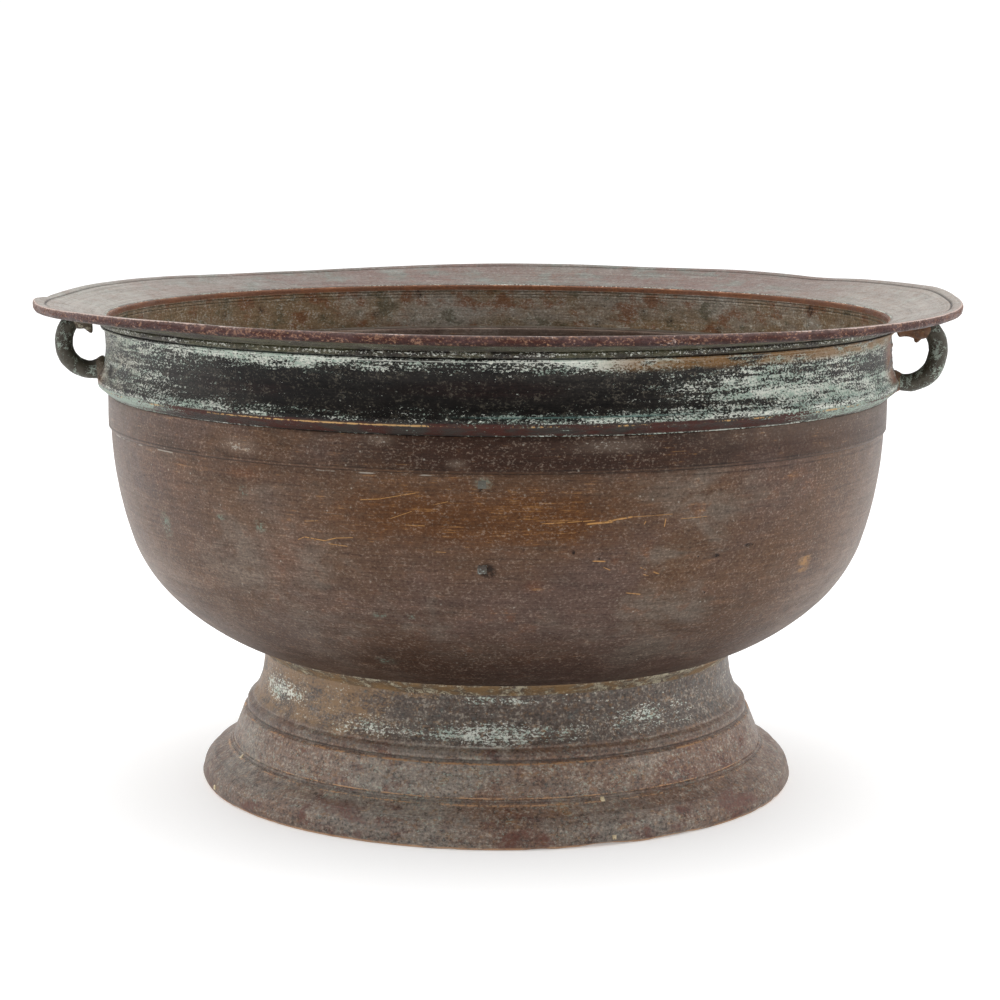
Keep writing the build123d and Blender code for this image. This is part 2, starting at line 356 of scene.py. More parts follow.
class Value:
    """A shader socket that takes part in arithmetic."""

    def __init__(self, shader: "Shader", socket: bpy.types.NodeSocket) -> None:
        """Wrap a socket of a shader."""
        self.shader = shader
        self.socket = socket

    def math(self, operation: str, *others: "Value | float", clamp: bool = False) -> "Value":
        """Add a Math node whose first input is this value.

        Args:
            operation: the node's operation.
            others: its further inputs.
            clamp: keep the result between 0 and 1.

        Returns:
            The node's result.
        """
        return self.shader.calculate(operation, self, *others, clamp=clamp)

    def __add__(self, other: "Value | float") -> "Value":
        """Sum."""
        return self.math("ADD", other)

    __radd__ = __add__

    def __sub__(self, other: "Value | float") -> "Value":
        """Difference."""
        return self.math("SUBTRACT", other)

    def __rsub__(self, other: float) -> "Value":
        """Difference from a number."""
        return self.shader.calculate("SUBTRACT", other, self)

    def __mul__(self, other: "Value | float") -> "Value":
        """Product."""
        return self.math("MULTIPLY", other)

    __rmul__ = __mul__

    def __truediv__(self, other: "Value | float") -> "Value":
        """Quotient."""
        return self.math("DIVIDE", other)

    def off(self) -> "Value":
        """How far a noise is off its mean."""
        return self - NOISE_MEAN

    def clamped(self) -> "Value":
        """The value kept between 0 and 1."""
        return self.math("ADD", 0.0, clamp=True)

    def either(self, other: "Value | float") -> "Value":
        """The larger of two values."""
        return self.math("MAXIMUM", other)

    def step(self, low: float, high: float) -> "Value":
        """A smooth step from 0 at low to 1 at high; low may be above high."""
        falls = low > high
        made = self.shader.node(
            "ShaderNodeMapRange",
            {"interpolation_type": "SMOOTHSTEP"},
            {0: self, 1: min(low, high), 2: max(low, high), 3: float(falls), 4: float(not falls)},
        )
        return Value(self.shader, made.outputs[0])

    def near(self, centre: float, width: float) -> "Value":
        """A soft hill of height 1 at a centre, gone at a width on each side."""
        return (self - centre).math("ABSOLUTE").step(width, 0.0)


class Shader:
    """A material under construction, with one Principled shader at its end."""

    NOISE_SPREAD = 3.2

    def __init__(self, name: str, coordinates: str = REST) -> None:
        """Start an empty material.

        Args:
            name: name of the material.
            coordinates: REST to read the places before warping, or "Object".
        """
        self.material = bpy.data.materials.new(name)
        self.material.use_nodes = True
        self.tree = self.material.node_tree
        self.tree.nodes.clear()
        if coordinates == REST:
            source = self.node("ShaderNodeAttribute", {"attribute_name": REST}, {})
            self.place = source.outputs["Vector"]
        else:
            self.place = self.node("ShaderNodeTexCoord", {}, {}).outputs["Object"]
        parts = self.node("ShaderNodeSeparateXYZ", {}, {0: self.place})
        self.x, self.y, self.z = (Value(self, out) / MM for out in parts.outputs)
        self.radius = (self.x * self.x + self.y * self.y).math("SQRT")
        self.front = self.y.step(20.0, -60.0)
        self.bearing = self.x.math("ARCTAN2", self.y * -1.0) * (180.0 / math.pi)

    def aside(self) -> Value:
        """Degrees from the front, on either side."""
        return self.bearing.math("ABSOLUTE")

    def node(self, kind: str, settings: dict, values: dict) -> bpy.types.Node:
        """Add any node.

        Args:
            kind: type of the node.
            settings: its properties, which are set first.
            values: numbers, colours, sockets or Values for its inputs, by name or number.

        Returns:
            The node.
        """
        made = self.tree.nodes.new(kind)
        for key, setting in settings.items():
            setattr(made, key, setting)
        for key, value in values.items():
            target = made.inputs[key]
            if isinstance(value, (Value, Paint)):
                self.tree.links.new(value.socket, target)
            elif isinstance(value, bpy.types.NodeSocket):
                self.tree.links.new(value, target)
            else:
                target.default_value = value
        return made

    def calculate(self, operation: str, *values: "Value | float", clamp: bool = False) -> Value:
        """Add a Math node.

        Args:
            operation: its operation.
            values: its inputs in order.
            clamp: keep the result between 0 and 1.

        Returns:
            The result.
        """
        settings = {"operation": operation, "use_clamp": clamp}
        made = self.node("ShaderNodeMath", settings, dict(enumerate(values)))
        return Value(self, made.outputs[0])

    def stretched(self, across: float, upright: float, shift: float = 0.0) -> bpy.types.NodeSocket:
        """Coordinates scaled apart, so that a pattern runs round the axis in streaks.

        Args:
            across: features per metre on the level.
            upright: features per metre of height.
            shift: moves the pattern, so that two layers differ.

        Returns:
            The vector socket.
        """
        scaled = self.node(
            "ShaderNodeVectorMath",
            {"operation": "MULTIPLY_ADD"},
            {0: self.place, 1: (across, across, upright), 2: (shift, shift, shift)},
        )
        return scaled.outputs[0]

    def noise(self, across: float, upright: float, detail: float = 4.0, roughness: float = 0.55,
              shift: float = 0.0, distortion: float = 0.0) -> Value:
        """Noise with its own scale on the level and upright.

        Args:
            across: features per metre on the level.
            upright: features per metre of height.
            detail: finer layers.
            roughness: strength of those layers.
            shift: moves the pattern.
            distortion: how far the pattern is bent.

        Returns:
            Values round 0.5.
        """
        made = self.node(
            "ShaderNodeTexNoise",
            {"noise_dimensions": "3D"},
            {
                "Vector": self.stretched(across, upright, shift),
                "Scale": 1.0,
                "Detail": detail,
                "Roughness": roughness,
                "Distortion": distortion,
            },
        )
        return Value(self, made.outputs[0])

    def cells(self, size: float, shift: float = 0.0, squash: float = 1.0) -> Value:
        """Distance from the nearest of many scattered points.

        Args:
            size: distance between points, in millimetres.
            shift: moves the pattern.
            squash: how much closer the points lie upright than across.

        Returns:
            The distance as a share of the size.
        """
        across = 1.0 / (size * MM)
        made = self.node(
            "ShaderNodeTexVoronoi",
            {"feature": "F1"},
            {"Vector": self.stretched(across, across * squash, shift), "Scale": 1.0},
        )
        return Value(self, made.outputs["Distance"])

    def mix(self, factor: "Value | float", low: object, high: object, blend: str = "MIX") -> "Paint":
        """Blend two colours.

        Args:
            factor: 0 for the first colour, 1 for the second.
            low: first colour, paint or socket.
            high: second colour, paint or socket.
            blend: the node's blend mode.

        Returns:
            The blend, ready for further coats.
        """
        ready = [(*c, 1.0) if isinstance(c, tuple) else c for c in (low, high)]
        made = self.node(
            "ShaderNodeMix",
            {"data_type": "RGBA", "blend_type": blend, "clamp_factor": True},
            {0: factor, 6: ready[0], 7: ready[1]},
        )
        return Paint(self, made.outputs[2])

    def patch(self, bearing: float, across: float, level: float, upright: float) -> Value:
        """A soft zone round a bearing and a level.

        Args:
            bearing: its middle, in degrees from the front.
            across: half width in degrees.
            level: its middle height.
            upright: half height.

        Returns:
            1 in the middle and 0 outside.
        """
        return self.bearing.near(bearing, across) * self.z.near(level, upright)

    def added(self, zone: Callable[..., Value], places: int, rows: Zones) -> Value:
        """Add up zones of one kind.

        Args:
            zone: makes one zone from the first numbers of a row.
            places: how many numbers that takes. One more number is the zone's strength.
            rows: the numbers of each zone.

        Returns:
            The sum of the zones.
        """
        total = None
        for row in rows:
            made = zone(*row[:places])
            for strength in row[places:]:
                made = made * strength
            total = made if total is None else total + made
        return total

    def patches(self, rows: Zones) -> Value:
        """Soft zones, each of bearing, half width, level, half height and perhaps strength."""
        return self.added(self.patch, 4, rows)

    def levels(self, rows: Zones) -> Value:
        """Soft level lines, each of height, half width and perhaps strength."""
        return self.added(self.z.near, 2, rows)

    def broken(self, zone: "Value | float", *layers: tuple[Value, float], edge: float = 0.04) -> Value:
        """Break a zone up with noise, as corrosion does.

        Args:
            zone: 0 where nothing grows, 0.5 where half is covered, 1 where all is.
            layers: each a noise and its share.
            edge: softness of each fleck's border.

        Returns:
            1 on the flecks and 0 between them.
        """
        shares = sum(share for _, share in layers)
        total = layers[0][0] * 0.0 + zone
        for layer, share in layers:
            total = total + layer.off() * (self.NOISE_SPREAD * share / shares)
        return total.step(0.5 - edge, 0.5 + edge)

    def scratch(self, mark: "Scratch") -> Value:
        """A thin mark on the front face, 1 on the mark and 0 elsewhere."""
        start, width = mark.start, mark.width
        along = np.subtract(mark.end, start)
        length = float(np.linalg.norm(along))
        along = along / length
        dx = self.x - start[0]
        dz = self.z - start[1]
        run = dx * float(along[0]) + dz * float(along[1])
        off = dz * float(along[0]) - dx * float(along[1])
        ends = (run - length / 2.0).math("ABSOLUTE").step(length / 2.0, length / 2.0 - 3.0 * width)
        return off.math("ABSOLUTE").step(width, 0.3 * width) * ends * self.front

    def spot(self, centre: Point, width: float, height: float) -> Value:
        """A soft round mark on the front face.

        Args:
            centre: x and height of its middle.
            width: half width.
            height: half height.

        Returns:
            1 in the middle and 0 outside.
        """
        dx = (self.x - centre[0]) / width
        dz = (self.z - centre[1]) / height
        return (dx * dx + dz * dz).math("SQRT").step(1.0, 0.35) * self.front

    def bumps(self, *layers: tuple[Value, float]) -> bpy.types.NodeSocket:
        """Stack height layers into one normal.

        Args:
            layers: each a height from 0 to 1 and its real depth in millimetres.

        Returns:
            The normal socket.
        """
        height = layers[0][0] * layers[0][1]
        for layer, depth in layers[1:]:
            height = height + layer * depth
        made = self.node("ShaderNodeBump", {}, {"Strength": 1.0, "Distance": MM, "Height": height})
        return made.outputs[0]

    def finish(self, colour: object, roughness: "Value | float", metallic: "Value | float",
               normal: bpy.types.NodeSocket | None, specular: float = 0.5,
               glow: float = 0.0) -> bpy.types.Material:
        """Close the material with its Principled shader.

        Args:
            colour: base colour socket.
            roughness: roughness.
            metallic: share of bare metal.
            normal: bumped normal.
            specular: strength of the plain reflection.
            glow: strength of the light that the surface gives off.

        Returns:
            The material.
        """
        values = {
            "Base Color": colour,
            "Roughness": roughness,
            "Metallic": metallic,
            "Specular IOR Level": specular,
            "Emission Strength": glow,
        }
        if glow > 0.0:
            values["Emission Color"] = colour
        if normal is not None:
            values["Normal"] = normal
        principled = self.node("ShaderNodeBsdfPrincipled", {}, values)
        self.node("ShaderNodeOutputMaterial", {}, {"Surface": principled.outputs[0]})
        return self.material


class Paint:
    """A colour that is built up in coats."""

    def __init__(self, shader: Shader, socket: bpy.types.NodeSocket) -> None:
        """Start from a colour socket of a shader."""
        self.shader = shader
        self.socket = socket

    def over(self, factor: "Value | float", coat: object) -> None:
        """Lay a coat over the colour.

        Args:
            factor: how far it covers, from 0 to 1.
            coat: its colour, paint or socket.
        """
        self.socket = self.shader.mix(factor, self, coat).socket

    def shade(self, amount: Value) -> None:
        """Multiply the brightness by a value."""
        grey = self.shader.node("ShaderNodeCombineXYZ", {}, {0: amount, 1: amount, 2: amount})
        self.socket = self.shader.mix(1.0, self, grey.outputs[0], "MULTIPLY").socket

    def pepper(self, light: Colour, dark: Colour, share: "Value | float",
               across: float = 620.0, upright: float = 900.0, clumped: float = 0.6) -> None:
        """Strew the colour with fine light and dark flecks.

        Args:
            light: colour of the light flecks.
            dark: colour of the dark flecks.
            share: how strongly they cover.
            across: flecks per metre on the level.
            upright: flecks per metre of height.
            clumped: how much the flecks gather.
        """
        flecks = self.shader.noise(across, upright, 3.0, 0.7, 61.0)
        clumps = self.shader.noise(across * 0.22, upright * 0.22, 3.0, 0.7, 67.0)
        mixed = flecks + clumps.off() * clumped
        self.over(mixed.step(0.54, 0.66) * share, light)
        self.over(mixed.step(0.46, 0.34) * share, dark)


# ---------------------------------------------------------------- finishes


@dataclass(frozen=True)
class Scratch:
    """One thin mark: x and height of both ends and half its width."""

    start: Point
    end: Point
    width: float = 0.35


BOWL_SCRATCHES = (
    Scratch((23.0, 193.6), (52.0, 194.9), 0.3),
    Scratch((46.0, 193.0), (62.0, 193.8), 0.7),
    Scratch((58.0, 194.2), (72.5, 196.2), 0.6),
    Scratch((72.0, 196.0), (94.0, 196.4), 0.18),
    Scratch((98.0, 193.4), (113.0, 193.6), 0.18),
    Scratch((50.3, 172.2), (58.3, 171.7), 0.5),
    Scratch((56.4, 168.6), (60.8, 166.4), 0.35),
    Scratch((76.4, 167.5), (80.1, 165.6), 0.4),
    Scratch((83.6, 164.5), (87.8, 162.5), 0.5),
    Scratch((78.1, 163.2), (81.8, 162.1), 0.35),
    Scratch((68.9, 153.0), (77.9, 151.5), 0.4),
    Scratch((89.2, 189.1), (90.1, 194.6), 0.3),
    Scratch((78.0, 191.2), (79.3, 193.7), 0.3),
    Scratch((-108.0, 179.6), (-104.0, 181.6), 0.3),
    Scratch((-104.5, 181.7), (-92.0, 180.4), 0.35),
    Scratch((-93.0, 180.4), (-86.0, 182.6), 0.35),
    Scratch((-87.0, 182.4), (-77.0, 183.4), 0.25),
    Scratch((-91.0, 179.0), (-80.0, 178.2), 0.25),
    Scratch((-104.0, 190.6), (-96.0, 191.4), 0.2),
    Scratch((-73.3, 204.6), (-62.0, 205.7), 0.3),
    Scratch((-62.4, 205.7), (-43.0, 209.7), 0.25),
    Scratch((-57.4, 194.9), (-45.1, 199.7), 0.2),
    Scratch((-34.4, 203.3), (-25.8, 205.5), 0.2),
    Scratch((-49.0, 192.0), (-38.0, 191.8), 0.2),
    Scratch((-34.6, 177.6), (-27.0, 177.4), 0.2),
)
BOWL_PITS = (
    (-5.0, 167.4, 6.0, 5.4),
    (40.5, 177.4, 1.2, 1.8),
    (119.1, 170.6, 2.8, 1.4),
    (137.8, 174.6, 3.4, 1.6),
    (-9.0, 212.4, 1.6, 1.4),
    (1.0, 222.2, 1.0, 1.2),
)


@dataclass(frozen=True)
class BowlFinish:
    """Brown patina over a turned bronze wall, worn in fine level lines."""

    warm: Colour = tint("54341a")
    flank: Colour = tint("5a3c27")
    brown: Colour = tint("563e2c")
    mauve: Colour = tint("54423a")
    grey: Colour = tint("6a6056")
    ash: Colour = tint("908072")
    # colour of the painted sheen and pale patina towards the sides
    sheen_and_pale_patina: Colour = tint("8f857d")
    deep: Colour = tint("2c1912")
    gold: Colour = tint("b98c56")
    dust: Colour = tint("a49f94")
    green: Colour = tint("6f877a")
    rust: Colour = tint("5f3822")
    pit: Colour = tint("15100e")

    UPPER_SHADOW_LINE: ClassVar[Point] = (222.4, 0.8)
    BAND_SHADOW_LINE: ClassVar[Point] = (220.6, 0.7)
    PALE_LINE: ClassVar[Point] = (219.4, 0.6)
    RIGHT_SHADOW_LINE: ClassVar[Point] = (217.2, 0.8)
    HAZE: ClassVar[Zones] = (
        (-36.5, 5.0, 229.0, 7.0),
        (-15.3, 3.0, 238.0, 5.0),
        (15.0, 8.0, 235.0, 6.0),
        (-5.3, 2.0, 225.8, 4.0),
        (-1.9, 1.6, 215.7, 5.5),
    )
    MINT: ClassVar[Zones] = (
        (-36.3, 1.2, 204.0, 4.5),
        (-55.0, 2.0, 175.0, 12.0),
        (-33.9, 1.4, 185.0, 5.0),
        (-17.0, 1.6, 139.0, 3.0),
        (-12.5, 1.2, 139.0, 2.4),
        (-19.0, 2.4, 108.0, 4.0),
        (-41.1, 1.4, 187.0, 2.5),
        (-1.9, 1.7, 215.4, 4.4),
    )

    def build(self) -> bpy.types.Material:
        """Make the material."""
        s = Shader("bowl_patina")
        clouds = s.noise(7.0, 11.0, 5.0, 0.62, distortion=0.4)
        drift = s.noise(24.0, 40.0, 5.0, 0.65, 3.0, 0.6)
        blotch = s.noise(62.0, 80.0, 5.0, 0.7, 23.0, 0.5)
        grit = s.noise(430.0, 640.0, 4.0, 0.75, 13.0)
        lines = s.noise(14.0, 560.0, 4.0, 0.7, 7.0)
        fine = s.noise(80.0, 1300.0, 3.0, 0.6, 11.0)
        warmth = s.patch(-4.0, 44.0, 197.0, 36.0) * 1.1 + clouds.off() * 1.2 + drift.off() * 1.3
        warmth = warmth + blotch.off() * 0.9 + lines.off() * 0.5
        colour = s.mix(clouds.step(0.36, 0.64), self.brown, self.mauve)
        sides = s.bearing.near(26.0, 12.0) * 0.1 + s.patch(-40.0, 16.0, 160.0, 30.0) * 0.16
        colour.over((drift + sides).step(0.48, 0.72) * 0.7, self.grey)
        colour.over((blotch + drift * 0.5).step(0.82, 0.98) * 0.45, self.rust)
        flank = s.aside().step(30.0, 58.0) * (drift + blotch * 0.3).step(0.5, 0.75)
        colour.over(flank * 0.6, self.flank)
        colour.over(warmth.step(0.15, 1.0), self.warm)
        low = (s.z + clouds.off() * 60.0 + drift.off() * 20.0).step(146.0, 92.0)
        under = s.bearing.near(0.0, 40.0) * s.radius.step(90.0, 150.0)
        colour.over(low * (0.45 + under * 0.35), self.deep)
        side_rust = s.patch(-31.0, 6.0, 168.0, 24.0) * (drift + blotch * 0.4).step(0.5, 0.8)
        side_rust = side_rust + s.patch(-36.0, 5.0, 214.0, 5.0) * 0.8 + s.patch(-54.0, 9.0, 208.0, 14.0) * 0.4
        side_rust = side_rust + s.patch(5.0, 2.2, 158.4, 5.0)
        colour.over(side_rust.clamped() * 0.55, self.rust)
        top = s.z.step(217.0, 225.0) * (drift - 0.5 + s.bearing.near(8.0, 34.0) * 0.45).step(-0.1, 0.3)
        colour.over(top * 0.85, self.deep)
        tone = 0.98 + lines.off() * 1.1 + fine.off() * 0.8 + grit.off() * 1.3 + blotch.off() * 0.7
        # Pale coat towards the bowl's sides: mostly a painted sheen of grazing reflection near the outline,
        # partly pale patina on the front left.
        sheen_and_pale_patina = s.aside().step(40.0, 84.0) * 0.46
        sheen_and_pale_patina = sheen_and_pale_patina + s.aside().step(36.0, 60.0) * s.z.step(170.0, 140.0) * 0.22
        sheen_and_pale_patina = sheen_and_pale_patina + s.bearing.near(-34.0, 22.0) * s.z.step(216.0, 200.0) * 0.14
        colour.over(sheen_and_pale_patina * (drift + 0.3).step(0.55, 0.9), self.sheen_and_pale_patina)
        colour.pepper(self.ash, self.deep, 0.42, clumped=0.3)
        colour.shade(tone)
        haze = s.patches(self.HAZE).clamped()
        haze = haze.either(s.z.step(228.0, 238.0) * s.bearing.step(20.0, 40.0) * 0.4)
        dusty = s.broken(haze * 0.3 + 0.02, (grit, 1.6), (lines, 0.8), edge=0.08) * haze.step(0.0, 0.3)
        band = s.z.step(219.0, 224.0) * s.bearing.step(18.0, 36.0)
        colour.over(band * 0.45, self.deep)
        colour.over(haze * 0.25, self.ash)
        colour.over(dusty * 0.75, self.dust)
        worn_zone = warmth.step(0.05, 1.1) * s.z.step(170.0, 186.0) + s.z.step(206.0, 214.0) * 0.3
        layers = ((lines, 0.4), (fine, 1.6), (blotch, 0.8), (grit, 0.5))
        worn = s.broken(worn_zone * 0.2 + 0.1, *layers, edge=0.1)
        colour.over(worn * 0.24, self.gold)
        cuts = s.scratch(BOWL_SCRATCHES[0])
        for mark in BOWL_SCRATCHES[1:]:
            cuts = cuts.either(s.scratch(mark))
        hatch = s.patch(5.6, 1.4, 157.0, 4.6) * lines.step(0.52, 0.6)
        ladder = s.patch(50.5, 2.2, 158.0, 13.0) * s.noise(20.0, 260.0, 0.0, 0.5, 41.0).step(0.5, 0.6)
        bare = cuts.either(hatch * 0.6).either(ladder * 0.6) * grit.step(0.34, 0.48)
        colour.over(bare * 0.8, self.gold)
        # Broken dark line on the band above its lower step: a painted shadow line.
        upper_shadow_line = s.z.near(*self.UPPER_SHADOW_LINE)
        colour.over(upper_shadow_line * 0.6 * drift.step(0.3, 0.5), self.pit)
        rim_line = s.z.near(*self.PALE_LINE)
        share = s.bearing.step(6.0, -14.0) * 0.3 + s.bearing.step(20.0, 34.0) * 0.12 + 0.05
        dashes = s.noise(60.0, 200.0, 2.0, 0.5, 53.0)
        pale = s.broken(share, (drift, 1.2), (dashes, 1.2), edge=0.06) * rim_line
        colour.over(pale * 0.8, self.dust)
        # Dark line along the band's lower step: a painted shadow.
        colour.over(s.z.near(*self.BAND_SHADOW_LINE) * 0.5, self.pit)
        # Dark line below the band on the right: a painted shadow line.
        right_shadow_line = s.z.near(*self.RIGHT_SHADOW_LINE) * s.bearing.step(18.0, 30.0)
        colour.over(right_shadow_line * 0.45 * drift.step(0.35, 0.5), self.pit)
        specks = s.cells(7.0, 5.0).step(0.11, 0.03) * (drift + grit * 0.4).step(0.62, 0.78)
        colour.over(specks * 0.6, self.dust)
        mint = s.patches(self.MINT)
        colour.over(mint.clamped() * (grit + blotch * 0.5).step(0.7, 0.86) * 0.7, self.green)
        holes = s.cells(14.0, 31.0).step(0.06, 0.02) * grit.step(0.4, 0.5)
        for x, level, width, height in BOWL_PITS:
            holes = holes.either(s.spot((x, level), width, height) * (grit + blotch * 0.4).step(0.62, 0.74))
        colour.over(holes * 0.85, self.pit)
        roughness = 0.48 + drift.off() * 0.3 + grit.off() * 0.4 - worn * 0.1 + low * 0.08
        metallic = 0.35 + worn * 0.2 + bare * 0.4
        normal = s.bumps((lines, 0.14), (fine, 0.06), (drift, 0.5), (blotch, 0.3), (grit, 0.2), (holes, -0.6),
                         (bare, -0.08))
        return s.finish(colour, roughness.clamped(), metallic.clamped(), normal, 0.2)


@dataclass(frozen=True)
class CollarFinish:
    """Neck band, ridge, bead, lip and flange, each with its own wear, with painted highlights on the lip's
    top and the mouth edge and a painted reflection on the flange's sides.
    """

    neck: Colour = tint("181210")
    neck_red: Colour = tint("2c1815")
    neck_grey: Colour = tint("37322e")
    verdigris: Colour = tint("a0b1a4")
    chalk: Colour = tint("dadcd2")
    teal: Colour = tint("648680")
    crust: Colour = tint("a59c8a")
    ochre: Colour = tint("7d5a31")
    rust: Colour = tint("7a4a2b")
    gold: Colour = tint("c09a68")
    lip: Colour = tint("4f3635")
    lip_red: Colour = tint("42211a")
    olive: Colour = tint("4f4d3a")
    flange: Colour = tint("746c65")
    silver: Colour = tint("a6a199")
    flange_green: Colour = tint("717b74")
    flange_mauve: Colour = tint("72605a")
    inner: Colour = tint("7f6a50")
    inner_grey: Colour = tint("938b80")
    inner_rust: Colour = tint("77492c")
    copper: Colour = tint("6d4630")
    # colour of the painted highlights on the mouth edge and of the lip's flecks
    highlight_and_fleck_copper: Colour = tint("b98d70")
    # colour of the painted highlight along the lip's top
    highlight_pink: Colour = tint("c9b5ab")
    pit: Colour = tint("14110f")

    SLOPE: ClassVar[float] = 0.256
    ENGRAVED: ClassVar[Point] = (273.0, 1.1)
    BEAD_GROOVE: ClassVar[Point] = (281.6, 0.8)
    CHALK_LINE: ClassVar[Point] = (280.0, 0.6)
    WORN_RIDGE: ClassVar[Point] = (246.4, 0.9)
    INNER_LINES: ClassVar[Zones] = ((282.2, 0.45), (280.2, 0.4), (278.4, 0.4, 0.6))

    def neck_band(self, s: Shader, noise: SimpleNamespace) -> tuple[Paint, Value]:
        """Dark neck with drips of verdigris in level streaks.

        Args:
            s: the shader.
            noise: the shared patterns by name.

        Returns:
            The colour and how much has grown on it.
        """
        colour = s.mix(noise.clouds.step(0.38, 0.6), self.neck, self.neck_grey)
        red = s.patch(-2.0, 22.0, 265.0, 9.0) + s.patch(-36.0, 16.0, 262.0, 8.0) * 0.8
        colour.over((red + noise.drift - 0.5).step(0.2, 0.8) * 0.8, self.neck_red)
        colour.pepper(self.crust, self.pit, 0.3 + s.bearing.step(6.0, 40.0) * 0.3)
        colour.shade(0.44 + noise.lines.off() * 1.2 + noise.grit.off() * 1.6)
        ends = s.aside().step(20.0, 60.0)
        drips = 0.32 + s.bearing.near(-32.0, 26.0) * 0.26 + s.bearing.near(14.0, 18.0) * 0.24
        drips = s.z.step(268.0, 279.5) * drips
        hem = 0.22 + s.bearing.step(-14.0, 30.0) * 0.22 + s.bearing.near(-40.0, 16.0) * 0.24
        hem = s.z.step(258.0, 250.5) * hem
        right = s.bearing.step(8.0, 40.0) * 0.36 + noise.bands.off() * s.bearing.step(8.0, 30.0) * 1.1
        left = s.bearing.step(-26.0, -60.0) * 0.36 + noise.bands.off() * s.bearing.step(-30.0, -50.0) * 0.6
        zone = drips.either(hem).either(right).either(left).either(ends * 0.26) + 0.08
        grown = s.broken(zone, (noise.clots, 1.1), (noise.specks, 2.4), (noise.dashes, 1.0), edge=0.03)
        flecks = s.mix((noise.drift + noise.grit - 0.5).step(0.36, 0.62), self.verdigris, self.chalk)
        teal = s.z.near(251.6, 2.0) * s.bearing.step(-6.0, 6.0) + s.patch(-50.0, 6.0, 251.0, 3.0)
        flecks.over(teal.clamped() * 0.35, self.teal)
        wash = (zone - 0.1 + noise.clots.off() * 1.6).step(0.1, 0.7)
        colour.over(wash * 0.08, self.verdigris)
        colour.over(grown * 0.9, flecks)
        cyan = s.z.near(251.2, 0.7) * s.bearing.step(-8.0, 2.0) * s.bearing.step(30.0, 16.0)
        colour.over(cyan * noise.grit.step(0.35, 0.5) * 0.8, self.teal)
        chalk_line = s.z.near(*self.CHALK_LINE) * noise.drift.step(0.36, 0.5)
        colour.over(chalk_line * 0.7, self.chalk)
        tan = s.z.step(273.0, 277.0) * s.bearing.step(10.0, 20.0) * s.bearing.step(80.0, 66.0)
        tan = tan * (noise.clots + noise.drift).step(0.78, 1.08)
        root_right = s.bearing.near(76.0, 7.0) * s.z.step(249.0, 252.0)
        root_left = s.bearing.near(-78.0, 9.0) * s.z.step(262.0, 250.0)
        rust = (root_right + root_left * 0.7).clamped() * noise.clots.step(0.3, 0.55)
        colour.over(tan * 0.85, self.ochre)
        colour.over(rust * 0.85, self.rust)
        crust = s.bearing.step(-52.0, -66.0) * noise.clots.step(0.42, 0.6) * noise.specks.step(0.4, 0.6)
        colour.over(crust * 0.6, self.crust)
        return colour, grown

    def inside(self, s: Shader, noise: SimpleNamespace) -> Paint:
        """Olive, grey and rust blotches on the inner wall."""
        blotch = s.noise(48.0, 60.0, 5.0, 0.7, 51.0)
        ends = s.aside().step(172.0, 140.0) * 0.14
        colour = s.mix((noise.clouds - ends).step(0.36, 0.62), self.inner, self.inner_grey)
        colour.over(blotch.step(0.5, 0.62) * 0.7, self.inner_rust)
        colour.over(blotch.step(0.46, 0.36) * 0.65, self.olive)
        colour.pepper(self.chalk, self.pit, 0.3)
        colour.shade(1.0 + noise.lines.off() * 0.9 + noise.grit.off() * 1.2)
        spots = s.cells(19.0, 61.0).step(0.26, 0.1) * (noise.grit + blotch * 0.5).step(0.7, 0.84)
        colour.over(spots * 0.85, self.pit)
        colour.over(s.levels(self.INNER_LINES).clamped() * 0.6, self.pit)
        return colour

    def flange_top(self, s: Shader, noise: SimpleNamespace) -> Paint:
        """Grey metal with mauve and green tints, a dark engraved line, and silver towards both sides that is
        a painted reflection.
        """
        colour = s.mix(noise.clouds.step(0.4, 0.62), self.flange, self.flange_mauve)
        colour.over(noise.drift.step(0.48, 0.64) * 0.6, self.flange_green)
        # Silver towards both sides of the flange top: a painted reflection.
        sides = s.aside().near(92.0, 62.0)
        colour.over(sides * 0.65, self.silver)
        colour.over((noise.clots + noise.grit - 0.5).step(0.56, 0.72) * 0.4, self.flange_mauve)
        colour.pepper(self.silver, self.inner_rust, 0.25, 420.0, 420.0)
        colour.shade(0.94 + noise.rings.off() * 0.9 + noise.grit.off() * 0.8)
        marks = s.cells(20.0, 71.0, squash=2.0).step(0.12, 0.04) * noise.drift.step(0.45, 0.6)
        colour.over(marks * 0.5, self.pit)
        colour.over(s.radius.near(*self.ENGRAVED) * 0.75, self.pit)
        return colour

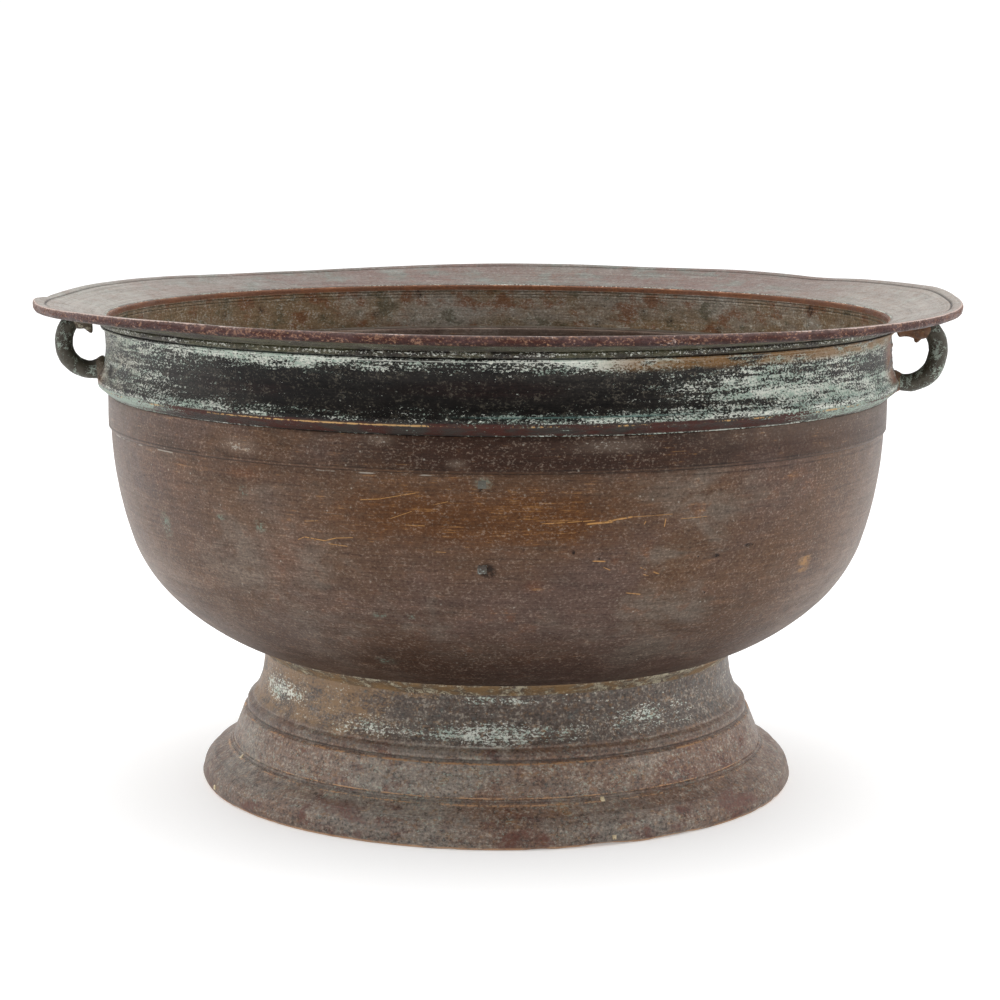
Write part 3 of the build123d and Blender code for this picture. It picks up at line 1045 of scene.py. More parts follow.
    def build(self) -> bpy.types.Material:
        """Make the material."""
        s = Shader("collar_patina")
        noise = SimpleNamespace(
            clouds=s.noise(11.0, 22.0, 5.0, 0.62, distortion=0.4),
            drift=s.noise(40.0, 110.0, 5.0, 0.65, 3.0),
            clots=s.noise(55.0, 190.0, 5.0, 0.7, 17.0, 0.5),
            specks=s.noise(640.0, 1000.0, 3.0, 0.75, 29.0),
            lines=s.noise(6.0, 560.0, 4.0, 0.7, 7.0),
            dashes=s.noise(40.0, 620.0, 3.0, 0.6, 37.0),
            bands=s.noise(3.0, 210.0, 3.0, 0.6, 57.0),
            grit=s.noise(560.0, 800.0, 3.0, 0.75, 13.0),
        )
        around = s.node("ShaderNodeCombineXYZ", {}, {0: s.radius * 0.45, 1: s.bearing * 0.05, 2: 0.0})
        rings = s.node("ShaderNodeTexNoise", {}, {"Vector": around.outputs[0], "Scale": 1.0, "Detail": 4.0})
        noise.rings = Value(s, rings.outputs[0])
        colour, grown = self.neck_band(s, noise)
        ridge = s.z.step(251.0, 249.5) * s.radius.step(236.8, 238.0)
        red_ridge = s.mix(noise.drift.step(0.4, 0.6), self.lip_red, self.neck_grey)
        low_zone = s.bearing.step(30.0, 52.0) * 0.34 + s.bearing.step(-40.0, -58.0) * 0.4 + 0.16
        low_flecks = s.broken(low_zone, (noise.clots, 1.0), (noise.specks, 1.8), (noise.lines, 1.0))
        red_ridge.over(low_flecks * 0.8, self.verdigris)
        red_ridge.shade(0.5 + noise.grit * 0.9)
        colour.over(ridge * s.z.step(248.4, 247.2), red_ridge)
        worn_edge = s.z.near(*self.WORN_RIDGE) * s.radius.step(241.5, 242.6)
        gold_share = s.bearing.near(-24.0, 26.0) * 0.8 + s.bearing.near(0.0, 75.0) * 0.25 + 0.1
        worn = s.broken(worn_edge * gold_share * 0.4 + 0.22, (noise.drift, 1.0), (noise.grit, 0.8), edge=0.1)
        worn = worn * worn_edge
        colour.over(worn * 0.9, self.gold)
        bead = s.z.step(281.6, 282.4) * s.radius.step(238.0, 239.0) * s.radius.step(284.0, 276.0)
        bead_colour = s.mix(noise.drift.step(0.4, 0.6), self.olive, self.neck_grey)
        bead_colour.pepper(self.crust, self.pit, 0.35)
        bead_colour.shade(0.9 + noise.lines.off() * 1.0 + noise.grit.off() * 1.2)
        frost = s.broken(s.z.near(284.4, 2.0) * 0.22 + 0.14, (noise.specks, 2.0), (noise.clots, 1.0))
        bead_colour.over(frost * 0.8, self.chalk)
        colour.over(bead, bead_colour)
        dark_groove = s.z.near(*self.BEAD_GROOVE) * s.radius.step(242.5, 240.5) * s.radius.step(238.0, 239.0)
        colour.over(dark_groove * 0.9, self.pit)
        colour.over(s.radius.step(236.6, 236.0), self.inside(s, noise))
        mouth = s.z.step(282.9, 283.7) * s.radius.step(238.0, 236.9)
        edge = s.mix(noise.drift.step(0.42, 0.6), self.copper, self.inner_rust)
        # Broken pale copper streaks along the mouth edge: painted highlights.
        bright = s.radius.near(236.8, 0.7) * 0.3 + 0.08
        bright = s.broken(bright, (noise.grit, 1.2), (noise.drift, 1.4), edge=0.1)
        edge.over(bright * s.radius.near(236.8, 0.9) * 0.85, self.highlight_and_fleck_copper)
        edge.shade(0.8 + noise.grit.off() * 1.4)
        colour.over(mouth, edge)
        face = s.z - s.radius * self.SLOPE
        top = s.radius.step(237.4, 239.6) * face.step(224.4, 225.4)
        colour.over(top, self.flange_top(s, noise))
        rim = face.step(225.9, 225.0).either(s.radius.step(278.2, 279.2))
        rim = s.radius.step(275.8, 277.4) * rim
        ends = s.aside().step(20.0, 55.0)
        lip = s.mix(noise.clots.step(0.4, 0.6), self.lip, self.lip_red)
        lip.over(s.aside().step(50.0, 84.0) * 0.5, self.copper)
        lip.over(s.z.step(294.6, 297.0) * 0.4, self.flange_mauve)
        lip.over(s.z.step(294.4, 292.6) * 0.5, self.pit)
        lip.pepper(self.highlight_and_fleck_copper, self.pit, 0.4)
        lip.shade(1.0 + noise.grit.off() * 1.4 + noise.lines.off() * 0.8)
        chips = s.cells(9.0, 81.0, squash=1.6).step(0.1, 0.04) * noise.clots.step(0.5, 0.62)
        lip.over(chips * 0.6, self.gold)
        colour.over(rim, lip)
        # Thin pale pink line along the lip's top, stronger towards the ends: a painted highlight.
        lip_top_highlight = s.broken(s.z.near(297.1, 0.8) * s.radius.step(276.6, 278.0) * (0.22 + ends * 0.7) + 0.03,
                            (noise.grit, 1.2), (noise.drift, 0.8), edge=0.14)
        colour.over(lip_top_highlight * rim * 0.85, self.highlight_pink)
        pits = s.cells(7.0, 31.0).step(0.08, 0.04)
        colour.over(pits * 0.6 * (1.0 - top), self.pit)
        roughness = 0.46 + noise.clots.off() * 0.25 + grown * 0.25 + noise.grit.off() * 0.2
        metallic = 0.3 + top * 0.15 + worn * 0.4 + lip_top_highlight * rim * 0.3 - grown * 0.3
        normal = s.bumps((noise.lines, 0.14), (noise.grit, 0.14), (noise.clots, 0.4), (pits, -0.5),
                         (grown, 0.12))
        return s.finish(colour, roughness.clamped(), metallic.clamped(), normal, 0.25)


@dataclass(frozen=True)
class FootFinish:
    """Mottled grey-brown casting with tan worn edges and verdigris in the neck."""

    grey: Colour = tint("81766c")
    brown: Colour = tint("755b4c")
    rust: Colour = tint("5a2e24")
    tan: Colour = tint("95704a")
    peach: Colour = tint("c79c74")
    verdigris: Colour = tint("a3b5a8")
    chalk: Colour = tint("dfe2d8")
    dark: Colour = tint("241c19")
    neck: Colour = tint("544a43")
    ochre: Colour = tint("8f7150")
    ash: Colour = tint("a79d8f")
    slate: Colour = tint("5d6360")

    SEAMS: ClassVar[Zones] = ((44.6, 1.2), (23.0, 0.8, 0.7), (16.0, 0.9, 0.4), (47.6, 2.4, 0.6))
    WORN_EDGES: ClassVar[Zones] = ((24.8, 0.7), (21.5, 0.7, 0.8), (42.9, 0.8))
    MIDDLE: ClassVar[Zones] = ((-2.0, 26.0, 58.0, 11.0, 0.44), (4.0, 18.0, 77.0, 4.0, 0.34))
    SIDES: ClassVar[Zones] = (
        (-62.0, 20.0, 66.0, 14.0, 0.36),
        (-30.0, 16.0, 57.0, 8.0, 0.26),
        (34.0, 28.0, 62.0, 15.0, 0.28),
    )

    def neck_cover(self, s: Shader, noise: SimpleNamespace, below: Paint) -> Paint:
        """Tan dust on the left of the neck, pale streaks in the middle and flecks on the right.

        Args:
            s: the shader.
            noise: the shared patterns by name.
            below: the colour underneath, which stays as it is.

        Returns:
            The covered colour.
        """
        colour = Paint(s, below.socket)
        tan = s.bearing.step(-4.0, -40.0) * 0.8 + s.bearing.near(66.0, 26.0) * 0.3
        tan = tan + s.z.step(74.0, 80.0) * 0.25
        layers = ((noise.clots, 1.2), (noise.specks, 1.2), (noise.drift, 0.8))
        dusted = s.broken(tan * 0.5 + 0.12, *layers, edge=0.14)
        colour.over(dusted * 0.75, self.ochre)
        middle = s.patches(self.MIDDLE)
        low = s.z.near(50.9, 1.3) * s.bearing.near(-1.0, 14.0) * 0.5
        sides = s.patches(self.SIDES)
        zone = (middle + sides + low) + 0.15
        streaks = s.broken(zone, (noise.lines, 0.8), (noise.specks, 2.0), (noise.clots, 1.1), edge=0.05)
        flecks = s.mix((noise.drift + noise.grit - 0.5).step(0.36, 0.6), self.verdigris, self.chalk)
        colour.over(streaks * 0.85, flecks)
        return colour

    def build(self) -> bpy.types.Material:
        """Make the material."""
        s = Shader("foot_patina")
        noise = SimpleNamespace(
            clouds=s.noise(11.0, 18.0, 5.0, 0.62, distortion=0.5),
            drift=s.noise(46.0, 70.0, 5.0, 0.7, 9.0, 0.4),
            clots=s.noise(60.0, 130.0, 5.0, 0.7, 17.0, 0.4),
            specks=s.noise(520.0, 900.0, 3.0, 0.78, 29.0),
            grit=s.noise(560.0, 640.0, 3.0, 0.8, 13.0),
            lines=s.noise(9.0, 600.0, 4.0, 0.7, 7.0),
        )
        colour = s.mix(noise.clouds.step(0.38, 0.62), self.grey, self.brown)
        colour.over(noise.drift.step(0.52, 0.68) * 0.7, self.rust)
        colour.over(noise.clots.step(0.56, 0.7) * 0.5, self.tan)
        side_brown = s.z.step(18.0, 10.0) * s.aside().step(30.0, 50.0) * 0.6
        colour.over(side_brown, self.brown)
        neck = s.z.step(50.0, 54.0)
        colour.over(neck * 0.85, self.neck)
        colour.pepper(self.ash, self.dark, 0.6, 540.0, 640.0)
        hue = s.noise(300.0, 380.0, 3.0, 0.7, 83.0)
        colour.over(hue.step(0.54, 0.7) * 0.5, self.tan)
        colour.over(hue.step(0.46, 0.3) * 0.5, self.slate)
        tone = 0.98 - s.z.step(19.0, 12.0) * 0.15
        colour.shade(tone + noise.grit.off() * 1.8 + noise.lines.off() * 0.9)
        colour.over(neck, self.neck_cover(s, noise, colour))
        frost = s.broken(s.z.near(30.0, 30.0) * 0.08 + 0.18, (noise.specks, 2.0), (noise.clots, 0.9))
        colour.over(frost * 0.4 * (1.0 - neck), self.verdigris)
        colour.over(s.levels(self.SEAMS).clamped() * 0.7, self.dark)
        stains = s.noise(30.0, 48.0, 4.0, 0.6, 37.0, 0.5).step(0.55, 0.66) * s.z.step(24.0, 14.0)
        colour.over(stains * noise.grit.step(0.3, 0.55) * 0.75, self.rust)
        edges = s.levels(self.WORN_EDGES)
        middle = s.bearing.near(-2.0, 60.0) * 0.5 + 0.4
        worn = s.broken(edges * middle * 0.5 + 0.2, (noise.drift, 1.2), (noise.grit, 0.7), edge=0.12)
        worn = worn * edges
        colour.over(worn * 0.9, self.peach)
        bright = edges * s.bearing.near(2.0, 26.0) * noise.grit.step(0.42, 0.6)
        colour.over(bright * 0.8, self.peach)
        hem = s.z.near(0.6, 1.3) * noise.drift.step(0.3, 0.5)
        colour.over(hem * 0.7, self.peach)
        roughness = 0.52 + noise.drift.off() * 0.3 + noise.grit.off() * 0.25
        metallic = 0.25 + worn * 0.25
        normal = s.bumps((noise.grit, 0.22), (noise.drift, 0.45), (noise.lines, 0.14), (noise.clots, 0.2))
        return s.finish(colour, roughness.clamped(), metallic.clamped(), normal)


@dataclass(frozen=True)
class CastFinish:
    """Rough cast surface with two body colours, flecks of growth and dark pits."""

    name: str
    body: Colour
    second: Colour
    growth: Colour
    growth_share: float
    gloss: float = 0.5
    metal: float = 0.2
    size: float = 4.0
    pit: Colour = tint("17130f")

    def build(self) -> bpy.types.Material:
        """Make the material."""
        s = Shader(self.name, "Object")
        scale = 1000.0 / self.size
        clouds = s.noise(scale * 0.3, scale * 0.3, 4.0, 0.6, distortion=0.5)
        mottle = s.noise(scale, scale, 5.0, 0.7, 5.0, 0.4)
        grit = s.noise(scale * 4.0, scale * 4.0, 4.0, 0.75, 9.0)
        colour = s.mix(clouds.step(0.38, 0.6), self.body, self.second)
        colour.shade(0.4 + mottle * 0.7 + grit * 0.5)
        grown = s.broken(self.growth_share, (clouds, 1.0), (mottle, 1.0), (grit, 1.0))
        colour.over(grown * 0.8, self.growth)
        pits = s.cells(self.size * 0.9, 3.0).step(0.16, 0.06)
        colour.over(pits * 0.7, self.pit)
        roughness = self.gloss + grown * 0.2 + mottle.off() * 0.25
        normal = s.bumps((mottle, 0.5), (grit, 0.15), (pits, -0.3))
        return s.finish(colour, roughness.clamped(), self.metal, normal)


HANDLE_FINISH = CastFinish(
    "handle_patina", tint("4a463b"), tint("3b352c"), tint("a6b2a6"),
    growth_share=0.36, gloss=0.48, metal=0.3, size=2.4,
)
SOLDER_FINISH = CastFinish(
    "solder_line", tint("7d6240"), tint("55473a"), tint("b3ab93"),
    growth_share=0.4, gloss=0.6, metal=0.1, size=4.0,
)
LAP_FINISH = CastFinish(
    "lap_solder", tint("5a5046"), tint("4a3d30"), tint("77756a"),
    growth_share=0.3, gloss=0.6, metal=0.15, size=5.0,
)
BRAZE_FINISH = CastFinish(
    "braze_residue", tint("63584a"), tint("4c3a2c"), tint("aba692"),
    growth_share=0.42, gloss=0.6, metal=0.15, size=3.0,
)
RUST_FINISH = CastFinish(
    "rusty_braze", tint("6d482c"), tint("51392a"), tint("93805c"),
    growth_share=0.3, gloss=0.65, metal=0.1, size=3.0,
)
BOWL_PIN_FINISH = CastFinish(
    "grey_pin_metal", tint("56544c"), tint("3c3029"), tint("98a09a"),
    growth_share=0.36, gloss=0.45, metal=0.4, size=4.0,
)
FOOT_PIN_FINISH = CastFinish(
    "bright_pin_metal", tint("d8c8a4"), tint("b3a283"), tint("8a8672"),
    growth_share=0.2, gloss=0.4, metal=0.3, size=3.0,
)


# ---------------------------------------------------------------- sub-assemblies


def settle(
    piece: bpy.types.Object, material: bpy.types.Material, slot: Slot, *nodes: str
) -> bpy.types.Object:
    """Dress a piece and give it its place in the model.

    Args:
        piece: the mesh object.
        material: its finish.
        slot: the record's slot; not used.
        nodes: CAD nodes that the piece stands for.

    Returns:
        The piece.
    """
    piece.data.materials.clear()
    piece.data.materials.append(material)
    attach(piece, "root")
    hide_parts(*nodes)
    log.info("%s: %d faces, stands for %s", piece.name, len(piece.data.polygons), ", ".join(nodes))
    return piece


@dataclass
class Bowl:
    """The turned bowl shell with its band and the spigot inside the collar."""

    wall: float = 4.5
    wall_lean: float = 2.0
    arcs: tuple[tuple[float, float], ...] = ((235.0, 18.0), (91.0, 45.0), (141.0, 70.0))
    body_radius: float = 235.2
    shoulder_level: float = 220.0
    band: Point = (220.5, 240.5)
    band_proud: float = 1.5
    spigot_top: float = 257.0
    spigot_radius: float = 235.0
    segments: int = 480
    step: float = 2.2
    seed: int = 3

    def arc_line(self, inset: float) -> list[Point]:
        """Walk down the shoulder, hip, belly and bottom to the axis.

        Args:
            inset: distance inside the outer face.

        Returns:
            Points from the shoulder to the axis.
        """
        lean = math.radians(self.wall_lean)
        r = self.body_radius
        z = self.shoulder_level
        points: list[Point] = []
        legs = list(self.arcs)
        reach = r - sum(
            radius * (math.cos(a) - math.cos(b))
            for (radius, end), a, b in zip(legs, self.leans()[:-1], self.leans()[1:])
        )
        legs.append((reach / math.cos(math.radians(legs[-1][1])), 90.0))
        for radius, end in legs:
            stop = math.radians(end)
            centre = (r - radius * math.cos(lean), z + radius * math.sin(lean))
            count = max(4, math.ceil(radius * (stop - lean) / self.step))
            for i in range(count + 1):
                a = lean + (stop - lean) * i / count
                near = radius - inset
                points.append((centre[0] + near * math.cos(a), centre[1] - near * math.sin(a)))
            r = centre[0] + radius * math.cos(stop)
            z = centre[1] - radius * math.sin(stop)
            lean = stop
        points[-1] = (0.0, points[-1][1])
        return spaced(points, self.step)

    def leans(self) -> list[float]:
        """Leans in radians where the side arcs start and end."""
        return [math.radians(a) for a in (self.wall_lean, *(end for _, end in self.arcs))]

    def outline(self) -> list[Point]:
        """The closed section, from the axis outside to the axis inside."""
        outside = self.arc_line(0.0)[::-1]
        inside = self.arc_line(self.wall)
        band_radius = self.body_radius + self.band_proud
        inner_radius = inside[0][0]
        top = rounded(
            [
                (*outside[-1], 0.0),
                (self.body_radius, self.band[0] - 0.4, 0.6),
                (band_radius, self.band[0] + 0.6, 0.7),
                (band_radius, self.band[1], 0.5),
                (self.spigot_radius, self.band[1], 0.3),
                (self.spigot_radius, self.spigot_top, 0.8),
                (inner_radius, self.spigot_top, 1.2),
                (*inside[0], 0.0),
            ],
            self.step,
        )
        return outside[:-1] + top + inside[1:]

    def warp(self, rest: np.ndarray) -> np.ndarray:
        """Dents and turning marks."""
        radius, _, height = polar(rest)
        grain = Grain(self.seed)
        level = rest * np.array([0.25, 0.25, 1.0])
        swell = grain.at(rest, 110.0, 2) * 0.45
        rings = grain.at(level, 6.0, 2) * 0.07
        side = ramp(radius, 60.0, 150.0)
        free = 1.0 - ramp(height, self.band[1] - 2.0, self.band[1])
        return push_out(rest, (swell + rings) * side * free)

    def build(self) -> bpy.types.Object:
        """Make and dress the bowl."""
        piece = turn("bowl", self.outline(), self.segments, self.warp)
        return settle(piece, BowlFinish().build(), Slot.BOWL, "bowl_body")


@dataclass
class Collar:
    """Ridge, neck band, bead and flange in one casting, a little out of true."""

    bore: float = 235.5
    foot: float = 240.5
    rim: float = 280.0
    mouth_level: float = 286.3
    rim_level: float = 297.7
    segments: int = 600
    step: float = 1.3
    seed: int = 5
    groove_inset: float = 7.0
    lift: tuple[Point, ...] = (
        (-180.0, 2.3), (-166.0, 0.6), (-150.0, -1.6), (-140.0, -2.0), (-125.0, -0.6), (-115.0, -0.4),
        (-107.0, -1.2), (-97.0, -3.0), (-88.0, -2.4), (-75.0, -1.2), (-60.0, 0.6), (-38.0, 1.5),
        (-15.0, 0.3), (10.0, -0.1), (42.0, -1.3), (60.0, -1.0), (75.0, -0.4), (88.0, 0.8),
        (98.0, 3.4), (106.0, 2.9), (114.0, 1.9), (121.0, 1.1), (128.0, -0.2), (134.0, 0.9),
        (143.0, 1.7), (160.0, 1.4),
    )

    def outline(self) -> list[Point]:
        """The closed section, from the lower inner edge outwards."""
        bore, foot, rim = self.bore, self.foot, self.rim
        slope = (self.rim_level - self.mouth_level) / (rim - bore)
        groove = rim - self.groove_inset
        groove_level = self.rim_level - self.groove_inset * slope

        def top(radius: float) -> float:
            """Level of the flange's upper face."""
            return self.mouth_level + (radius - bore) * slope

        corners: list[Corner] = [
            (bore, foot, 0.2),
            (bore + 1.2, foot, 0.2),
            (bore + 7.5, foot + 5.2, 1.2),
            (bore + 7.8, foot + 9.2, 1.6),
            (bore + 6.6, foot + 11.2, 2.0),
            (bore + 3.9, foot + 17.0, 30.0),
            (bore + 2.3, foot + 27.0, 60.0),
            (bore + 3.4, foot + 39.4, 0.3),
            (bore + 5.5, foot + 39.6, 0.4),
            (bore + 5.5, foot + 41.0, 0.4),
            (bore + 4.5, foot + 41.1, 0.25),
            (bore + 4.5, foot + 41.9, 0.25),
            (bore + 7.4, foot + 41.9, 1.3),
            (bore + 7.4, foot + 44.8, 1.3),
            (bore + 6.2, foot + 45.0, 0.5),
            (bore + 9.5, foot + 45.8, 2.0),
            (rim - 4.0, foot + 51.0, 2.0),
            (rim - 0.3, foot + 51.6, 1.8),
            (rim, self.rim_level - 0.3, 2.4),
            (rim - 4.0, top(rim - 4.0) + 0.35, 1.0),
            (groove + 1.0, groove_level + 0.45, 0.4),
            (groove, groove_level - 0.75, 0.15),
            (groove - 0.9, groove_level - 0.2, 0.3),
            (bore + 3.0, top(bore + 3.0), 3.0),
            (bore + 0.6, self.mouth_level - 0.1, 1.5),
            (bore, self.mouth_level - 3.2, 1.0),
            (bore, self.mouth_level - 3.6, 0.15),
            (bore + 0.4, self.mouth_level - 3.9, 0.1),
            (bore, self.mouth_level - 4.2, 0.15),
            (bore, self.mouth_level - 5.8, 0.15),
            (bore + 0.4, self.mouth_level - 6.1, 0.1),
            (bore, self.mouth_level - 6.4, 0.15),
            (bore, foot, 0.2),
        ]
        return rounded(corners, self.step)[:-1]

    def warp(self, rest: np.ndarray) -> np.ndarray:
        """Out-of-true flange, dented edge, worn lip and cast texture."""
        radius, bearing, height = polar(rest)
        grain = Grain(self.seed)
        flange = ramp(radius, 242.0, self.rim)
        bearings, lifts = np.array(self.lift).T
        shifts = (-3.0, -1.5, 0.0, 1.5, 3.0)
        lift = sum(np.interp(bearing + shift, bearings, lifts, period=360.0) for shift in shifts)
        lift /= len(shifts)
        waves = grain.at(rest * np.array([1.0, 1.0, 0.3]), 60.0, 2) * 0.35
        moved = rest.copy()
        moved[:, 2] += (lift + waves) * flange
        knob = bump_at(away(bearing, -84.0), 0.0, 4.0) * ramp(radius, 273.5, 276.0)
        moved[:, 2] += 0.9 * knob - 0.7 * bump_at(away(bearing, -92.5), 0.0, 1.8) * ramp(radius, 273.5, 276.0)
        edge = ramp(radius, 274.0, self.rim)
        nicks = np.minimum(grain.at(rest, 9.0, 3) + 0.35, 0.0) * 0.5 * edge
        swell = grain.at(rest, 90.0, 2) * 0.35 * ramp(height, self.foot + 6.0, self.foot + 14.0)
        skin = grain.at(rest * np.array([0.5, 0.5, 1.0]), 4.0, 2) * 0.10
        inner = 1.0 - ramp(radius, self.bore, self.bore + 0.3)
        calm = 1.0 - inner * (1.0 - ramp(height, self.foot + 17.0, self.foot + 22.0))
        burr = np.maximum(grain.at(rest, 3.0, 2), 0.0) * 1.6 * bump_at(away(bearing, 80.0), 0.0, 4.0)
        burr = burr * ramp(height, 252.0, 256.0) * (1.0 - ramp(height, 272.0, 277.0))
        return push_out(moved, (nicks + swell + skin + burr) * calm + knob)

    def build(self) -> bpy.types.Object:
        """Make and dress the collar."""
        piece = turn("rim_collar_casting", self.outline(), self.segments, self.warp)
        return settle(piece, CollarFinish().build(), Slot.RIM, "rim_collar")


@dataclass
class Foot:
    """The hollow moulded foot."""

    radius: float = 182.8
    neck: float = 143.9
    bore: float = 138.9
    land: float = 8.0
    seat: float = 84.3
    segments: int = 480
    step: float = 1.3
    seed: int = 8

    def outline(self) -> list[Point]:
        """The closed section, from the ground outwards and back inside."""
        r = self.radius
        corners: list[Corner] = [
            (r - self.land, 0.0, 0.8),
            (r - 1.6, 0.0, 1.2),
            (r, 3.2, 3.0),
            (r - 2.2, 11.2, 6.0),
            (r - 6.9, 15.5, 0.8),
            (r - 7.2, 15.8, 0.3),
            (r - 7.3, 16.4, 0.4),
            (r - 13.4, 19.6, 20.0),
            (r - 17.2, 22.0, 0.4),
            (r - 18.0, 22.1, 0.2),
            (r - 17.7, 22.9, 0.3),
            (r - 18.7, 24.0, 0.4),
            (r - 19.6, 24.2, 0.2),
            (r - 19.3, 24.9, 0.4),
            (r - 20.9, 29.6, 12.0),
            (r - 25.8, 42.6, 0.7),
            (r - 28.2, 44.0, 0.4),
            (r - 27.8, 45.4, 0.5),
            (r - 28.0, 48.8, 2.4),
            (r - 31.4, 51.0, 1.0),
            (r - 31.6, 52.2, 0.6),
            (self.neck + 4.5, 56.2, 14.0),
            (self.neck + 1.6, 64.4, 30.0),
            (self.neck, 76.0, 30.0),
            (self.neck, self.seat, 0.4),
            (self.bore, self.seat - 1.6, 0.4),
            (self.bore, 62.0, 10.0),
            (r - 31.4, 39.0, 8.0),
            (r - 24.2, 21.5, 8.0),
            (r - self.land, 3.0, 3.0),
            (r - self.land, 0.0, 0.8),
        ]
        return rounded(corners, self.step)[:-1]

    def warp(self, rest: np.ndarray) -> np.ndarray:
        """Cast swell, pitted skin and a chipped lower edge."""
        radius, bearing, height = polar(rest)
        grain = Grain(self.seed)
        swell = grain.at(rest, 80.0, 2) * 0.4
        skin = grain.at(rest, 5.0, 3) * 0.16
        pits = np.minimum(grain.at(rest, 7.0, 2) + 0.75, 0.0) * 1.4
        calm = 1.0 - ramp(height, self.seat - 8.0, self.seat - 3.0)
        moved = push_out(rest, (swell + skin + pits) * calm)
        edge = 1.0 - ramp(height, 0.0, 3.0)
        outer = ramp(radius, self.radius - self.land + 1.0, self.radius - 2.0)
        chips = np.maximum(grain.at(rest, 14.0, 2) - 0.2, 0.0) * 1.2
        notch = 1.6 * bump_at(away(bearing, 19.5), 0.0, 4.0)
        moved[:, 2] += (chips + notch) * edge * outer
        return moved

    def build(self) -> bpy.types.Object:
        """Make and dress the foot."""
        piece = turn("foot_casting", self.outline(), self.segments, self.warp)
        return settle(piece, FootFinish().build(), Slot.FOOT, "foot_ring")


@dataclass
class Seams:
    """Solder lines: one under the bowl, outside and inside the foot, and one in the collar's lap."""

    neck: float = 143.9
    bore: float = 138.9
    lap: Point = (235.0, 257.0)
    segments: int = 480
    seed: int = 12

    def warp(self, rest: np.ndarray) -> np.ndarray:
        """The uneven run of the solder."""
        grain = Grain(self.seed)
        uneven = grain.at(rest, 12.0, 3) * 0.3
        moved = push_out(rest, uneven)
        moved[:, 2] += grain.at(rest + 50.0, 16.0, 2) * 0.35
        return moved

    def build(self) -> list[bpy.types.Object]:
        """Make and dress the three rings."""
        material = SOLDER_FINISH.build()
        outer = rounded(
            [
                (self.neck - 0.8, 80.0, 0.3),
                (self.neck + 0.4, 79.8, 0.6),
                (self.neck + 1.8, 82.0, 4.0),
                (self.neck + 8.0, 86.3, 0.8),
                (self.neck + 8.6, 88.2, 0.5),
                (self.neck - 0.8, 85.0, 0.3),
                (self.neck - 0.8, 80.0, 0.3),
            ],
            0.8,
        )[:-1]
        inner = rounded(
            [
                (self.bore + 0.5, 76.8, 0.3),
                (self.bore + 0.5, 83.4, 0.3),
                (self.bore - 5.4, 81.6, 0.5),
                (self.bore - 2.0, 79.6, 2.0),
                (self.bore + 0.5, 76.8, 0.3),
            ],
            0.8,
        )[:-1]
        lap = rounded(
            [
                (self.lap[0] + 0.2, self.lap[1] - 0.4, 0.1),
                (self.lap[0] + 0.7, self.lap[1] + 1.6, 0.3),
                (self.lap[0] - 1.6, self.lap[1] + 0.35, 0.3),
                (self.lap[0] - 1.4, self.lap[1] - 0.3, 0.1),
                (self.lap[0] + 0.2, self.lap[1] - 0.4, 0.1),
            ],
            0.5,
        )[:-1]
        foot_outer = turn("foot_solder_outside", outer, self.segments, self.warp)
        foot_inner = turn("foot_solder_inside", inner, self.segments, self.warp)
        collar = turn("collar_solder", lap, self.segments, lambda rest: rest.copy())
        return [
            settle(foot_outer, material, Slot.SOLDER, "foot_seam"),
            settle(foot_inner, material, Slot.SOLDER, "foot_seam"),
            settle(collar, LAP_FINISH.build(), Slot.SOLDER, "collar_seam"),
        ]


